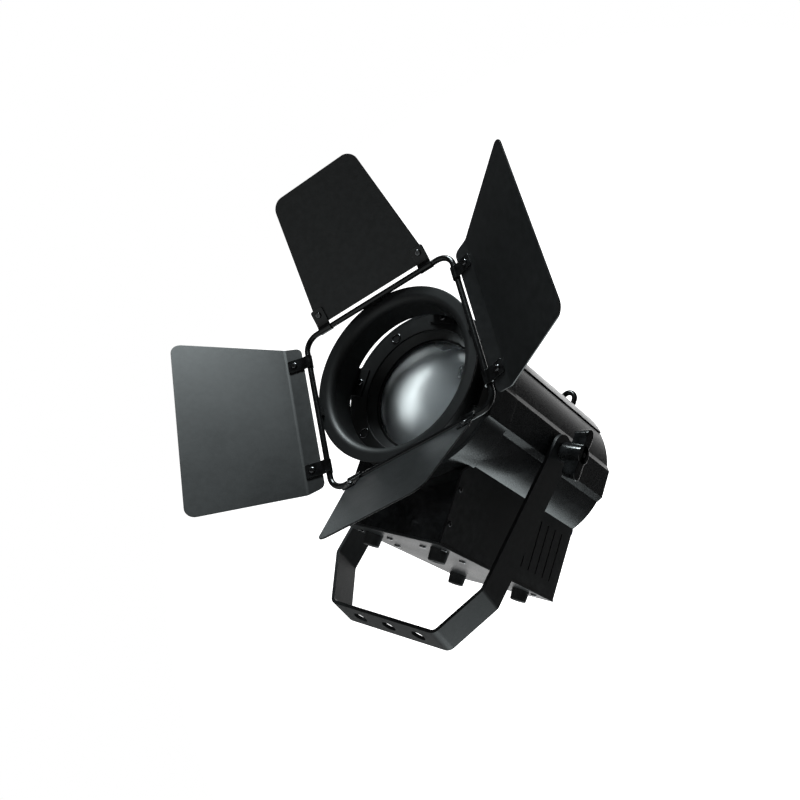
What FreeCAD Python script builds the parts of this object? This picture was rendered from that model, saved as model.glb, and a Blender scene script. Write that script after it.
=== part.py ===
"""LED fresnel spotlight: yoke, tilting head, zoom lens, and a rotating barn-door set.

Row frame: +Z up along the yoke, origin at the outer face of the yoke's base, on its
centre hole. The lamp faces -Y. Head pieces are drawn on the optical axis, with y = 0
in the plane of the barn-door rod frame, and are then put in place by one tilt.
"""
import FreeCAD, Part
import math
import os
import Sketcher

VECTOR = FreeCAD.Vector
X_AXIS = VECTOR(1, 0, 0)
Y_AXIS = VECTOR(0, 1, 0)
Z_AXIS = VECTOR(0, 0, 1)
FULL_TURN = 360.0
RIGHT_ANGLE = 90.0
TOUCH = 0.01            # two points closer than this are taken as one, in mm
SIDES = 4               # the door set has four sides, and four of each of its holders
FAN_BLADES = 7
SIDE_SLOTS = 5
BUTTONS = 4

# ---------------------------------------------------------------- driving dimensions
# millimetres and degrees; each size that can be set by itself is written once here
SIZES = {
    # yoke
    "yoke_gauge": 3.0, "yoke_strip": 30.0, "yoke_base_half": 53.8,
    "elbow_height": 46.0, "pivot_height": 190.5, "yoke_bend": 5.0, "base_hole": 13.0,
    "base_hole_pitch": 31.0, "tilt_rest": 16.46,
    # tilt pivot and wing knobs
    "stud_diameter": 8.0, "running_fit": 0.08, "body_gap": 0.4, "washer_radius": 13.0,
    "washer_gauge": 2.6,
    "stud_depth": 3.2, "knob_hub_radius": 9.0, "knob_length": 21.0, "knob_wing_span": 47.2,
    "knob_wing_width": 9.6, "knob_wing_depth": 13.0, "knob_tip_radius": 5.6, "knob_angle": 6.0,
    # head: placing on the pivot
    "pivot_back": 151.0, "axis_rise": 4.0,
    # head: housing
    "barrel_radius": 71.0, "shell_wall": 2.0, "cover_step": 1.2, "rail_step": 1.5,
    "rail_top": 12.0, "rail_low": 13.7, "rail_slope": 4.8, "seam_rise": 48.4,
    "collar_front": 41.0, "barrel_front": 72.0, "barrel_rear": 252.4, "collar_step": 0.6,
    "louvre_pitch": 8.0, "louvre_width": 3.0, "louvre_half": 34.0, "cap_gauge": 3.0,
    "vent_radius": 34.0, "vent_bar": 3.0,
    # head: front plate, brackets and baffle
    "plate_gauge": 2.0, "plate_opening": 54.9, "plate_screw_inset": 9.5, "screw_head": 3.6,
    "small_screw": 2.88, "bracket_width": 25.0, "bracket_gauge": 1.5, "bracket_inset": 1.4,
    "bracket_lip": 4.1, "bracket_foot": 9.6, "baffle_step": 1.8, "baffle_depth": 6.4,
    # zoom carriage
    "lens_radius": 47.8, "lens_rim_front": 51.0, "lens_rim": 4.0, "lens_dome": 90.0,
    "holder_wall": 2.6, "holder_length": 34.0, "guide_gap": 10.6, "guide_radius": 2.5,
    "ear_half": 5.5,
    "zoom_travel": 34.0, "bulkhead_front": 124.0, "zoom_stem_radius": 3.0,
    "zoom_knob_radius": 8.0, "zoom_knob_length": 10.0,
    # light engine and cooling
    "module_radius": 19.0, "module_gauge": 4.0, "reflector_mouth": 30.0, "reflector_length": 20.0,
    "sink_radius": 60.0, "sink_front": 156.0, "sink_plate": 6.0, "fin_length": 46.0,
    "fin_gauge": 2.0, "fin_pitch": 9.0, "fan_half": 40.0, "fan_depth": 15.0, "fan_bore": 37.5,
    "rotor_radius": 36.5, "rotor_hub": 15.0, "rotor_depth": 11.0, "fan_axle": 2.0,
    "blade_rise": 4.4,
    # driver box
    "box_half": 52.3, "box_front": 56.6, "box_depth": 47.0, "box_wall": 1.5,
    "box_front_slope": 9.0, "base_gauge": 2.0, "slot_width": 1.8, "slot_pitch": 13.3,
    "slot_first": 181.0, "slot_rise": 15.5, "slot_length": 45.0, "foot_radius": 8.0,
    "foot_height": 10.0, "foot_across": 35.0, "foot_front": 85.0, "foot_rear": 222.0,
    "button_radius": 3.4, "button_pitch": 12.0, "button_travel": 1.0, "button_gap": 0.3,
    "display_rise": 15.6, "display_half": 19.2, "side_screw": 2.16,
    "socket_radius": 11.5, "data_radius": 9.5, "data_socket_length": 6.0,
    "power_socket_length": 9.6,
    # safety eye
    "eye_radius": 6.5, "eye_rod": 2.7, "eye_across": 14.0, "eye_back": 243.0, "eye_leg": 6.0,
    # barn-door set
    "frame_inset": 0.7, "rod_radius": 2.5, "rod_corner": 13.0, "door_roll": 35.36,
    "flange_width": 13.2, "flange_gauge": 1.5, "lip_radius": 6.5, "rear_flange_width": 5.0,
    "tube_wall": 1.2, "tube_rear": 29.0, "channel_gap": 2.1, "tab_width": 8.0,
    "tab_overlap": 4.7,
    # doors
    "sheet_gauge": 1.2, "sheet_start": 5.1, "door_corner": 9.0,
    "flat_overhang": 5.7, "flat_taper": 15.4, "flat_height": 111.2, "bent_overhang": 16.7,
    "bent_flange_flare": 3.2, "bent_flare": 15.1, "bent_flange": 14.6, "bent_panel": 95.6,
    "bend_angle": 23.7,
    "top_angle": 32.8, "left_angle": 21.4, "bottom_angle": 44.1, "right_angle": 18.6,
    "clip_width": 12.0, "clip_gauge": 1.3, "clip_tab": 18.4, "clip_inset": 10.0,
    "screw_out": 13.0, "screw_radius": 1.25, "clip_screw": 2.7, "clip_screw_head": 1.62,
}


class Size:
    """A length or angle that knows its number and the sheet expression it came from."""

    def __init__(self, value, text):
        self.value = value
        self.text = text

    def _with(self, other, sign, value, swapped=False):
        other_text = other.text if isinstance(other, Size) else repr(float(other))
        first, second = (other_text, self.text) if swapped else (self.text, other_text)
        return Size(value, f"({first} {sign} {second})")

    def __add__(self, other):
        return self._with(other, "+", self.value + number(other))

    def __radd__(self, other):
        return self._with(other, "+", self.value + number(other), swapped=True)

    def __sub__(self, other):
        return self._with(other, "-", self.value - number(other))

    def __rsub__(self, other):
        return self._with(other, "-", number(other) - self.value, swapped=True)

    def __mul__(self, other):
        return self._with(other, "*", self.value * number(other))

    __rmul__ = __mul__

    def __truediv__(self, other):
        return self._with(other, "/", self.value / number(other))

    def __neg__(self):
        return Size(-self.value, f"(0 - {self.text})")


def number(size):
    return size.value if isinstance(size, Size) else float(size)


def text_of(size):
    return size.text if isinstance(size, Size) else repr(float(size))


def cosine(angle):
    return Size(math.cos(math.radians(number(angle))), f"cos({text_of(angle)})")


def sine(angle):
    return Size(math.sin(math.radians(number(angle))), f"sin({text_of(angle)})")


def root(size):
    return Size(math.sqrt(number(size)), f"sqrt({text_of(size)})")


def chord_reach(radius, offset):
    """How far a circle reaches sideways at the given offset from its centre."""
    return root(radius * radius - offset * offset)


class Sheet:
    """The spreadsheet of driving sizes; each alias is read as an attribute."""

    def __init__(self, doc, sizes):
        self.table = doc.addObject("Spreadsheet::Sheet", "Sizes")
        for row, (alias, value) in enumerate(sizes.items(), start=1):
            self.table.set(f"A{row}", alias)
            self.table.set(f"B{row}", str(value))
            self.table.setAlias(f"B{row}", alias)
            setattr(self, alias, Size(value, f"Sizes.{alias}"))


doc = FreeCAD.newDocument("FresnelSpotlight")
d = Sheet(doc, SIZES)
doc.recompute()

# ---------------------------------------------------------------- sizes that follow others
# the housing, the yoke and the barn-door set all grow with the barrel
d.rail_half = d.barrel_radius + d.rail_step
d.cover_radius = d.barrel_radius + d.cover_step
d.yoke_inner_half = d.rail_half + d.washer_gauge + d.body_gap
d.screw_circle = d.barrel_radius - d.plate_screw_inset
d.bracket_reach = d.barrel_radius - d.bracket_inset
d.bracket_inner = d.bracket_reach - d.bracket_foot
d.box_floor = d.barrel_radius + d.box_depth
d.slot_low = d.box_floor - d.slot_rise
d.slot_high = d.slot_low - d.slot_length
d.rear_flange = d.bracket_reach - d.channel_gap
d.tube_radius = d.rear_flange - d.rear_flange_width
d.flange_radius = d.tube_radius + d.flange_width
d.rod_side = (d.flange_radius - d.frame_inset) * 2
d.clip_across = d.rod_side / 2 - d.rod_corner - d.clip_inset
d.flat_inner_half = d.clip_across + d.flat_overhang
d.flat_outer_half = d.flat_inner_half - d.flat_taper
d.bent_inner_half = d.clip_across + d.bent_overhang
d.bent_middle_half = d.bent_inner_half + d.bent_flange_flare
d.bent_outer_half = d.bent_inner_half + d.bent_flare
# the zoom carriage and the baffle in front of it grow with the lens
d.baffle_radius = d.lens_radius + d.baffle_step
d.rod_circle = d.lens_radius + d.holder_wall + d.guide_gap

NODES = []


# ---------------------------------------------------------------- outlines for sketches
def circle(radius, across=0.0, up=0.0):
    return ("circle", radius, across, up)


def polygon(*points):
    return ("polygon", points)


def rectangle(left, right, low, high):
    return polygon((left, low), (right, low), (right, high), (left, high))


def pin_point(sketch, geometry, vertex, across, up):
    """Tie a sketch point to the sketch origin by two named distances."""
    for kind, size in (("DistanceX", across), ("DistanceY", up)):
        index = sketch.addConstraint(
            Sketcher.Constraint(kind, -1, 1, geometry, vertex, number(size)))
        if isinstance(size, Size):
            sketch.setExpression(f"Constraints[{index}]", size.text)


def draw(sketch, outline):
    start = sketch.GeometryCount
    if outline[0] == "circle":
        _, radius, across, up = outline
        centre = VECTOR(number(across), number(up), 0)
        sketch.addGeometry(Part.Circle(centre, Z_AXIS, number(radius)), False)
        pin_point(sketch, start, 3, across, up)
        index = sketch.addConstraint(Sketcher.Constraint("Radius", start, number(radius)))
        sketch.setExpression(f"Constraints[{index}]", text_of(radius))
        return
    points = outline[1]
    corners = [VECTOR(number(a), number(b), 0) for a, b in points]
    count = len(corners)
    for i in range(count):
        sketch.addGeometry(Part.LineSegment(corners[i], corners[(i + 1) % count]), False)
    for i in range(count):
        sketch.addConstraint(
            Sketcher.Constraint("Coincident", start + i, 2, start + (i + 1) % count, 1))
    for i, (across, up) in enumerate(points):
        pin_point(sketch, start + i, 1, across, up)


# ---------------------------------------------------------------- bodies and features
def new_body(name):
    body = doc.addObject("PartDesign::Body", name)
    body.Label = name
    return body


def new_sketch(body, plane, outlines, offset=0.0):
    role = f"{plane}_Plane"
    support = next(f for f in body.Origin.OriginFeatures if f.Role == role)
    sketch = body.newObject("Sketcher::SketchObject", f"{body.Name}_sketch")
    sketch.AttachmentSupport = [(support, "")]
    sketch.MapMode = "FlatFace"
    for outline in outlines:
        draw(sketch, outline)
    sketch.AttachmentOffset = FreeCAD.Placement(VECTOR(0, 0, number(offset)), FreeCAD.Rotation())
    if isinstance(offset, Size):
        sketch.setExpression("AttachmentOffset.Base.z", offset.text)
    return sketch


def depth_of(feature, low, high):
    feature.setExpression("Length", text_of(high - low) if isinstance(high - low, Size)
                          else repr(float(high - low)))


def pad(body, plane, low, high, *outlines):
    """Add the outlines, pulled from low to high along the axis that the plane faces."""
    offset = -high if plane == "XZ" else low
    sketch = new_sketch(body, plane, outlines, offset)
    feature = body.newObject("PartDesign::Pad", f"{body.Name}_pad")
    feature.Profile = sketch
    depth_of(feature, low, high)
    doc.recompute()
    return feature


def pocket(body, plane, low, high, *outlines):
    """Cut the outlines out, from low to high along the axis that the plane faces."""
    before = body.Shape.Volume
    offset = -low if plane == "XZ" else high
    sketch = new_sketch(body, plane, outlines, offset)
    feature = body.newObject("PartDesign::Pocket", f"{body.Name}_pocket")
    feature.Profile = sketch
    depth_of(feature, low, high)
    doc.recompute()
    if not body.Shape.Volume < before:
        raise RuntimeError(f"a pocket of {body.Label} cuts nothing")
    return feature


def turn(body, outline, cut=False):
    """Revolve an outline of (radius, y) points about the body's own Y axis."""
    sketch = new_sketch(body, "XY", [outline])
    kind = "PartDesign::Groove" if cut else "PartDesign::Revolution"
    feature = body.newObject(kind, f"{body.Name}_turn")
    feature.Profile = sketch
    feature.ReferenceAxis = (sketch, ["V_Axis"])
    feature.Angle = FULL_TURN
    doc.recompute()
    return feature


def repeat_along(body, feature, axis, pitch, count):
    """Repeat a feature in a row, at a fixed pitch."""
    pattern = body.newObject("PartDesign::LinearPattern", f"{body.Name}_row")
    pattern.Originals = [feature]
    role = f"{axis}_Axis"
    pattern.Direction = (next(f for f in body.Origin.OriginFeatures if f.Role == role), [""])
    pattern.Length = number(pitch) * (count - 1)
    pattern.setExpression("Length", (pitch * (count - 1)).text)
    pattern.Occurrences = count
    body.Tip = pattern
    doc.recompute()
    return pattern


def repeat_round(body, feature, count):
    """Repeat a feature evenly about the body's Y axis."""
    pattern = body.newObject("PartDesign::PolarPattern", f"{body.Name}_ring")
    pattern.Originals = [feature]
    pattern.Axis = (next(f for f in body.Origin.OriginFeatures if f.Role == "Y_Axis"), [""])
    pattern.Angle = FULL_TURN
    pattern.Occurrences = count
    body.Tip = pattern
    doc.recompute()
    return pattern


def round_edges(body, radius, wanted):
    """Round the edges of the body's tip that the test picks."""
    base = body.Tip
    names = [f"Edge{i}" for i, edge in enumerate(base.Shape.Edges, start=1) if wanted(edge)]
    feature = body.newObject("PartDesign::Fillet", f"{body.Name}_round")
    feature.Base = (base, names)
    feature.setExpression("Radius", text_of(radius))
    doc.recompute()
    return feature


def runs_along(edge, axis):
    if edge.Curve.TypeId != "Part::GeomLine":
        return False
    return edge.tangentAt(edge.FirstParameter).cross(axis).Length < TOUCH


def turned(name, *points):
    body = new_body(name)
    turn(body, polygon(*points))
    return body


def compound(name, parts):
    """One node of separate, identical pieces."""
    group = doc.addObject("Part::Compound", name)
    group.Label = name
    group.Links = parts
    doc.recompute()
    return group


def rod(name, radius, length, base, direction):
    """A plain cylinder from its base point along a direction."""
    piece = doc.addObject("Part::Cylinder", name)
    piece.setExpression("Radius", text_of(radius))
    piece.setExpression("Height", text_of(length))
    piece.Placement = FreeCAD.Placement(base, FreeCAD.Rotation(Z_AXIS, direction))
    return piece


def place(node, placement):
    node.Placement = placement
    NODES.append(node)


# ---------------------------------------------------------------- frames of the bodies
HEAD = (FreeCAD.Placement(VECTOR(0, 0, number(d.pivot_height)),
                          FreeCAD.Rotation(X_AXIS, number(d.tilt_rest)))
        * FreeCAD.Placement(VECTOR(0, -number(d.pivot_back), number(d.axis_rise)),
                            FreeCAD.Rotation()))
YOKE = FreeCAD.Placement()
DOOR_SET = HEAD * FreeCAD.Placement(VECTOR(), FreeCAD.Rotation(-Y_AXIS, number(d.door_roll)))


def door_frame(side_angle, opening):
    """x runs along the rod, y out along the door, z towards the beam."""
    to_side = FreeCAD.Placement(VECTOR(), FreeCAD.Rotation(-Y_AXIS, side_angle))
    stand = FreeCAD.Placement(VECTOR(), FreeCAD.Rotation(X_AXIS, RIGHT_ANGLE))
    to_rod = FreeCAD.Placement(VECTOR(0, number(d.rod_side / 2), 0),
                               FreeCAD.Rotation(X_AXIS, number(opening)))
    return DOOR_SET * to_side * stand * to_rod


# ---------------------------------------------------------------- yoke
def yoke_outline():
    """The right half of the bent strip's section: its outer face up, its inner face down."""
    inner, outer = d.yoke_inner_half, d.yoke_inner_half + d.yoke_gauge
    top = d.pivot_height + d.yoke_strip / 2
    run = number(d.yoke_inner_half + d.yoke_gauge / 2 - d.yoke_base_half)
    rise = math.degrees(math.atan2(number(d.elbow_height - d.yoke_gauge / 2), run))
    base_shift = d.yoke_gauge / 2 * math.tan(math.radians(rise / 2))
    elbow_shift = d.yoke_gauge / 2 * math.tan(math.radians((RIGHT_ANGLE - rise) / 2))
    return [(d.yoke_base_half + base_shift, 0.0), (outer, d.elbow_height - elbow_shift),
            (outer, top), (inner, top), (inner, d.elbow_height + elbow_shift),
            (d.yoke_base_half - base_shift, d.yoke_gauge)]


def yoke_bracket():
    body = new_body("yoke_bracket")
    half = d.yoke_strip / 2
    right = yoke_outline()
    left = [(-across, up) for across, up in reversed(right)]
    pad(body, "XZ", -half, half, polygon(*right, *left))
    low_outer, high_outer, _, _, high_inner, low_inner = right

    def at_corners(*corners):
        def test(edge):
            centre = edge.CenterOfMass
            return any(abs(abs(centre.x) - number(a)) < TOUCH and abs(centre.z - number(b)) < TOUCH
                       for a, b in corners)
        return test

    round_edges(body, d.yoke_bend + d.yoke_gauge, at_corners(low_outer, high_outer))
    round_edges(body, d.yoke_bend, at_corners(low_inner, high_inner))
    top = number(right[2][1])
    round_edges(body, half - TOUCH, lambda edge: runs_along(edge, X_AXIS)
                and edge.CenterOfMass.z > top - 1)
    hole = d.base_hole / 2
    pocket(body, "XY", -d.yoke_gauge, d.yoke_gauge * 2, circle(hole, -d.base_hole_pitch),
           circle(hole), circle(hole, d.base_hole_pitch))
    pocket(body, "YZ", -(d.yoke_inner_half * 2), d.yoke_inner_half * 2,
           circle(d.stud_diameter / 2 + d.running_fit, 0.0, d.pivot_height))
    place(body, YOKE)


# ---------------------------------------------------------------- head: housing
def rail_outline(step):
    """The flat side rails with their bevelled edges, right across the barrel."""
    flat = d.rail_half + step
    inner = d.barrel_radius - d.shell_wall
    top, low = d.rail_top + d.rail_slope, -(d.rail_low + d.rail_slope)
    return polygon((flat, d.rail_top), (inner, top), (-inner, top), (-flat, d.rail_top),
                   (-flat, -d.rail_low), (-inner, low), (inner, low), (flat, -d.rail_low))


def barrel_shell():
    body = new_body("barrel_shell")
    rear = d.barrel_rear - d.cap_gauge
    inner = d.barrel_radius - d.shell_wall
    beyond = d.rail_half + d.shell_wall
    pad(body, "XZ", d.barrel_front, rear, circle(d.barrel_radius))
    pad(body, "XZ", d.barrel_front, rear, rail_outline(0.0))
    pocket(body, "XZ", d.barrel_front, rear, circle(inner))
    pocket(body, "XZ", d.barrel_front, rear, rectangle(-beyond, beyond, d.seam_rise, beyond))
    pocket(body, "YZ", -beyond, beyond,
           circle(d.stud_diameter / 2 + d.running_fit, d.pivot_back, -d.axis_rise))
    stem_gap = d.zoom_stem_radius + d.body_gap
    pocket(body, "YZ", -beyond, -(inner - d.shell_wall * 4),
           rectangle(zoom_stem_back() - stem_gap, zoom_stem_back() + d.zoom_travel + stem_gap,
                     -stem_gap, stem_gap))
    place(body, HEAD)


def zoom_stem_back():
    """The zoom screw stands near the rear end of the lens holder."""
    return d.lens_rim_front + d.holder_length - d.zoom_stem_radius * 2


def top_cover():
    body = new_body("top_cover")
    rear = d.barrel_rear
    beyond = d.cover_radius + d.shell_wall
    pad(body, "XZ", d.barrel_front, rear, circle(d.cover_radius))
    pocket(body, "XZ", d.barrel_front, rear, circle(d.cover_radius - d.shell_wall))
    pocket(body, "XZ", d.barrel_front, rear, rectangle(-beyond, beyond, -beyond, d.seam_rise))
    first = d.barrel_front + d.louvre_pitch
    slot = pocket(body, "XY", d.seam_rise, beyond,
                  rectangle(-d.louvre_half, d.louvre_half, first, first + d.louvre_width))
    room = number(d.eye_back - d.eye_rod * 3 - first)
    repeat_along(body, slot, "Y", d.louvre_pitch, int(room / number(d.louvre_pitch)))
    for side in (-1, 1):
        pocket(body, "XY", d.seam_rise, beyond,
               circle(d.eye_rod, d.eye_across + d.eye_radius * side, d.eye_back))
    place(body, HEAD)


def front_collar():
    body = new_body("front_collar")
    pad(body, "XZ", d.collar_front, d.barrel_front, circle(d.cover_radius))
    pad(body, "XZ", d.collar_front, d.barrel_front, rail_outline(d.collar_step))
    pocket(body, "XZ", d.collar_front, d.barrel_front, circle(d.barrel_radius - d.shell_wall))
    place(body, HEAD)


def rear_cap():
    body = new_body("rear_cap")
    front = d.barrel_rear - d.cap_gauge
    pad(body, "XZ", front, d.barrel_rear, circle(d.barrel_radius))
    pad(body, "XZ", front, d.barrel_rear, rail_outline(0.0))
    inside_cover = d.cover_radius - d.shell_wall
    beyond = d.cover_radius + d.shell_wall
    pocket(body, "XZ", front, d.barrel_rear,
           polygon((-beyond, d.seam_rise), (beyond, d.seam_rise), (beyond, beyond),
                   (-beyond, beyond)))
    pad(body, "XZ", front, d.barrel_rear, circle(inside_cover))
    slots = []
    rows = int(number(d.vent_radius) / number(d.vent_bar * 2))
    for row in range(-rows, rows + 1):
        rise = d.vent_bar * 2 * row
        low, high = rise - d.vent_bar / 2, rise + d.vent_bar / 2
        widest = max(abs(number(low)), abs(number(high)))
        reach = chord_reach(d.vent_radius + d.vent_bar, widest)
        slots.append(rectangle(-reach, reach, low, high))
    pocket(body, "XZ", front, d.barrel_rear, *slots)
    place(body, HEAD)


# ---------------------------------------------------------------- head: front end
def front_plate():
    inner = d.barrel_radius - d.shell_wall
    front, rear = d.collar_front, d.collar_front + d.plate_gauge
    body = turned("front_plate", (d.plate_opening, front), (inner, front), (inner, rear),
                  (d.plate_opening, rear))
    place(body, HEAD)


def spots_round(radius, count, first_angle):
    """Places evenly spaced on a circle about the optical axis."""
    step = FULL_TURN / count
    return [(radius * cosine(first_angle + step * i), radius * sine(first_angle + step * i))
            for i in range(count)]


def front_plate_screws():
    body = new_body("front_plate_screws")
    between = RIGHT_ANGLE / 2
    heads = [circle(d.screw_head, a, b) for a, b in spots_round(d.screw_circle, SIDES, between)]
    pad(body, "XZ", d.collar_front - d.screw_head / 2, d.collar_front, *heads)
    place(body, HEAD)


def bracket_channel():
    """Front and back faces of the channel that the barn-door ring turns in."""
    front = d.tube_rear - d.flange_gauge - d.body_gap
    return front, d.tube_rear + d.body_gap


def retaining_brackets():
    body = new_body("retaining_brackets")
    gauge, inner = d.bracket_gauge, d.bracket_reach
    outer, lip = inner + gauge, inner - d.bracket_lip
    front, back = bracket_channel()
    foot = d.collar_front - gauge
    outline = polygon((d.bracket_inner, d.collar_front), (outer, d.collar_front),
                      (outer, front - gauge), (lip, front - gauge), (lip, front), (inner, front),
                      (inner, back), (lip, back), (lip, back + gauge), (inner, back + gauge),
                      (inner, foot), (d.bracket_inner, foot))
    half = d.bracket_width / 2
    strip = pad(body, "XY", -half, half, outline)
    repeat_round(body, strip, SIDES)
    place(body, HEAD)


def bracket_screws():
    body = new_body("bracket_screws")
    middle = (d.bracket_inner + d.bracket_reach) / 2
    heads = [circle(d.small_screw, a, b) for a, b in spots_round(middle, SIDES, 0.0)]
    foot = d.collar_front - d.bracket_gauge
    pad(body, "XZ", foot - d.screw_head / 2, foot, *heads)
    place(body, HEAD)


def light_baffle():
    front = d.collar_front + d.plate_gauge
    rear = front + d.baffle_depth
    wall = d.bracket_gauge
    body = turned("light_baffle", (d.plate_opening, front), (d.plate_opening + wall, front),
                  (d.baffle_radius + wall, rear), (d.baffle_radius, rear))
    place(body, HEAD)


# ---------------------------------------------------------------- head: zoom carriage
def lens():
    radius = d.lens_radius
    to_centre = chord_reach(d.lens_dome, radius)
    rear = d.lens_rim_front + d.lens_rim
    blank = rod("lens_blank", radius, d.lens_dome, VECTOR(0, number(rear), 0), -Y_AXIS)
    dome = doc.addObject("Part::Sphere", "lens_dome_ball")
    dome.setExpression("Radius", d.lens_dome.text)
    dome.setExpression("Placement.Base.y", (d.lens_rim_front + to_centre).text)
    piece = doc.addObject("Part::Common", "lens")
    piece.Label = "lens"
    piece.Base, piece.Tool = blank, dome
    doc.recompute()
    place(piece, HEAD)


def lens_ring():
    rear = d.lens_rim_front - d.running_fit
    outer = d.lens_radius + d.holder_wall
    inner, front = d.lens_radius - d.running_fit, rear - d.body_gap * 2
    body = turned("lens_ring", (inner, front), (outer, front), (outer, rear), (inner, rear))
    place(body, HEAD)


def lens_holder():
    body = new_body("lens_holder")
    bore, outer = d.lens_radius, d.lens_radius + d.holder_wall
    front = d.lens_rim_front - d.running_fit
    rear = d.lens_rim_front + d.holder_length
    seat = d.lens_rim_front + d.lens_rim
    shoulder = d.lens_radius - d.holder_wall
    turn(body, polygon((bore, front), (outer, front), (outer, rear), (bore, rear),
                       (bore, seat + d.shell_wall), (shoulder, seat + d.shell_wall),
                       (shoulder, seat), (bore, seat)))
    ear = d.ear_half
    top = d.rod_circle + ear
    ear_front = rear - d.guide_radius * 4
    pad(body, "XZ", ear_front, rear, rectangle(-ear, ear, bore, top),
        rectangle(-ear, ear, -top, -bore))
    guide = d.guide_radius + d.running_fit
    pocket(body, "XZ", ear_front, rear, circle(guide, 0.0, d.rod_circle),
           circle(guide, 0.0, -d.rod_circle))
    pocket(body, "YZ", -(outer + d.holder_wall), -(bore - d.holder_wall),
           circle(d.zoom_stem_radius, zoom_stem_back()))
    place(body, HEAD)


def zoom_knob():
    body = new_body("zoom_knob")
    back = zoom_stem_back()
    under = d.rail_half + d.collar_step + d.body_gap
    far = under + d.zoom_knob_length
    pad(body, "YZ", -under, -(d.lens_radius + d.body_gap), circle(d.zoom_stem_radius, back))
    pad(body, "YZ", -far, -under, circle(d.zoom_knob_radius, back))
    place(body, HEAD)


def guide_rods():
    body = new_body("guide_rods")
    front = d.collar_front + d.plate_gauge
    pad(body, "XZ", front, d.bulkhead_front, circle(d.guide_radius, 0.0, d.rod_circle),
        circle(d.guide_radius, 0.0, -d.rod_circle))
    place(body, HEAD)


# ---------------------------------------------------------------- head: light engine
def bulkhead():
    inner = d.barrel_radius - d.shell_wall
    front, rear = d.bulkhead_front, d.bulkhead_front + d.plate_gauge
    body = turned("bulkhead", (d.reflector_mouth, front), (inner, front), (inner, rear),
                  (d.reflector_mouth, rear))
    place(body, HEAD)


def reflector():
    wall = d.plate_gauge / 2
    front = d.bulkhead_front + d.plate_gauge
    rear = d.sink_front - d.module_gauge
    throat = d.module_radius - d.module_gauge
    body = turned("reflector", (d.reflector_mouth, front), (d.reflector_mouth + wall, front),
                  (throat + wall, rear), (throat, rear))
    place(body, HEAD)


def led_module():
    front = d.sink_front - d.module_gauge
    body = turned("led_module", (0.0, front), (d.module_radius, front),
                  (d.module_radius, d.sink_front), (0.0, d.sink_front))
    place(body, HEAD)


def led_emitter():
    rear = d.sink_front - d.module_gauge
    radius = d.module_radius - d.module_gauge * 2
    body = turned("led_emitter", (0.0, rear - d.plate_gauge / 2), (radius, rear - d.plate_gauge / 2),
                  (radius, rear), (0.0, rear))
    place(body, HEAD)


def sink_rear():
    return d.sink_front + d.sink_plate + d.fin_length


def heat_sink():
    body = new_body("heat_sink")
    pad(body, "XZ", d.sink_front, sink_rear(), circle(d.sink_radius))
    half = int(number(d.sink_radius) / number(d.fin_pitch))
    left = -d.fin_pitch * half + d.fin_gauge / 2
    reach = d.sink_radius + d.fin_gauge
    gap = pocket(body, "XZ", d.sink_front + d.sink_plate, sink_rear(),
                 rectangle(left, left + d.fin_pitch - d.fin_gauge, -reach, reach))
    repeat_along(body, gap, "X", d.fin_pitch, half * 2)
    place(body, HEAD)


def fan_frame():
    body = new_body("fan_frame")
    front, rear = sink_rear(), sink_rear() + d.fan_depth
    side = d.fan_half
    pad(body, "XZ", front, rear, rectangle(-side, side, -side, side))
    pocket(body, "XZ", front, rear, circle(d.fan_bore))
    spider = rear - d.plate_gauge
    bar = d.fan_axle * 2
    pad(body, "XZ", spider, rear, circle(d.rotor_hub))
    pad(body, "XZ", spider, rear, rectangle(-side, side, -bar, bar))
    pad(body, "XZ", spider, rear, rectangle(-bar, bar, -side, side))
    pad(body, "XZ", front + d.fan_depth / 3, spider, circle(d.fan_axle))
    place(body, HEAD)


def fan_rotor():
    body = new_body("fan_rotor")
    front = sink_rear() + d.body_gap
    rear = front + d.rotor_depth
    pad(body, "XZ", front, rear, circle(d.rotor_hub))
    slant, gauge = d.blade_rise, d.plate_gauge
    blade = pad(body, "YZ", d.rotor_hub - gauge, d.rotor_radius,
                polygon((front, -slant), (front + gauge, -slant), (rear, slant),
                        (rear - gauge, slant)))
    repeat_round(body, blade, FAN_BLADES)
    pocket(body, "XZ", front + d.fan_depth / 3 - d.body_gap * 2, rear,
           circle(d.fan_axle + d.running_fit))
    place(body, HEAD)


# ---------------------------------------------------------------- head: driver box
def box_top():
    """Where the flat side of the box meets the round barrel."""
    return -chord_reach(d.barrel_radius, d.box_half)


def bevel_line():
    """Underside of the sloped top-front corner, as two (y, z) points."""
    gauge = d.base_gauge
    low = (d.box_front + gauge, box_top() - d.box_front_slope - gauge * math.tan(math.pi / 8))
    high = (d.box_front + d.box_front_slope, box_top() - gauge * math.sqrt(2))
    return low, high


def driver_box():
    body = new_body("driver_box")
    front, low = d.box_front + d.base_gauge, -(d.box_floor - d.base_gauge)
    top = box_top() + d.box_wall
    inside = d.box_half - d.box_wall
    pad(body, "XZ", front, d.barrel_rear, rectangle(-d.box_half, d.box_half, low, top))
    pocket(body, "XZ", front, d.barrel_rear - d.box_wall, rectangle(-inside, inside, low, top))
    pocket(body, "XZ", front, d.barrel_rear, circle(d.barrel_radius))
    pocket(body, "XZ", front, d.barrel_front, circle(d.cover_radius))
    (low_y, low_z), (high_y, high_z) = bevel_line()
    side = d.box_half + d.box_wall
    pocket(body, "YZ", -side, side, polygon((low_y - d.box_wall, low_z), (low_y, low_z),
                                            (high_y, high_z), (high_y, 0.0),
                                            (low_y - d.box_wall, 0.0)))
    slot = pocket(body, "YZ", -side, side,
                  rectangle(d.slot_first, d.slot_first + d.slot_width, -d.slot_low, -d.slot_high))
    repeat_along(body, slot, "Y", d.slot_pitch, SIDE_SLOTS)
    pocket(body, "XZ", d.barrel_rear - d.box_wall, d.barrel_rear, *button_holes())
    place(body, HEAD)


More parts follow.
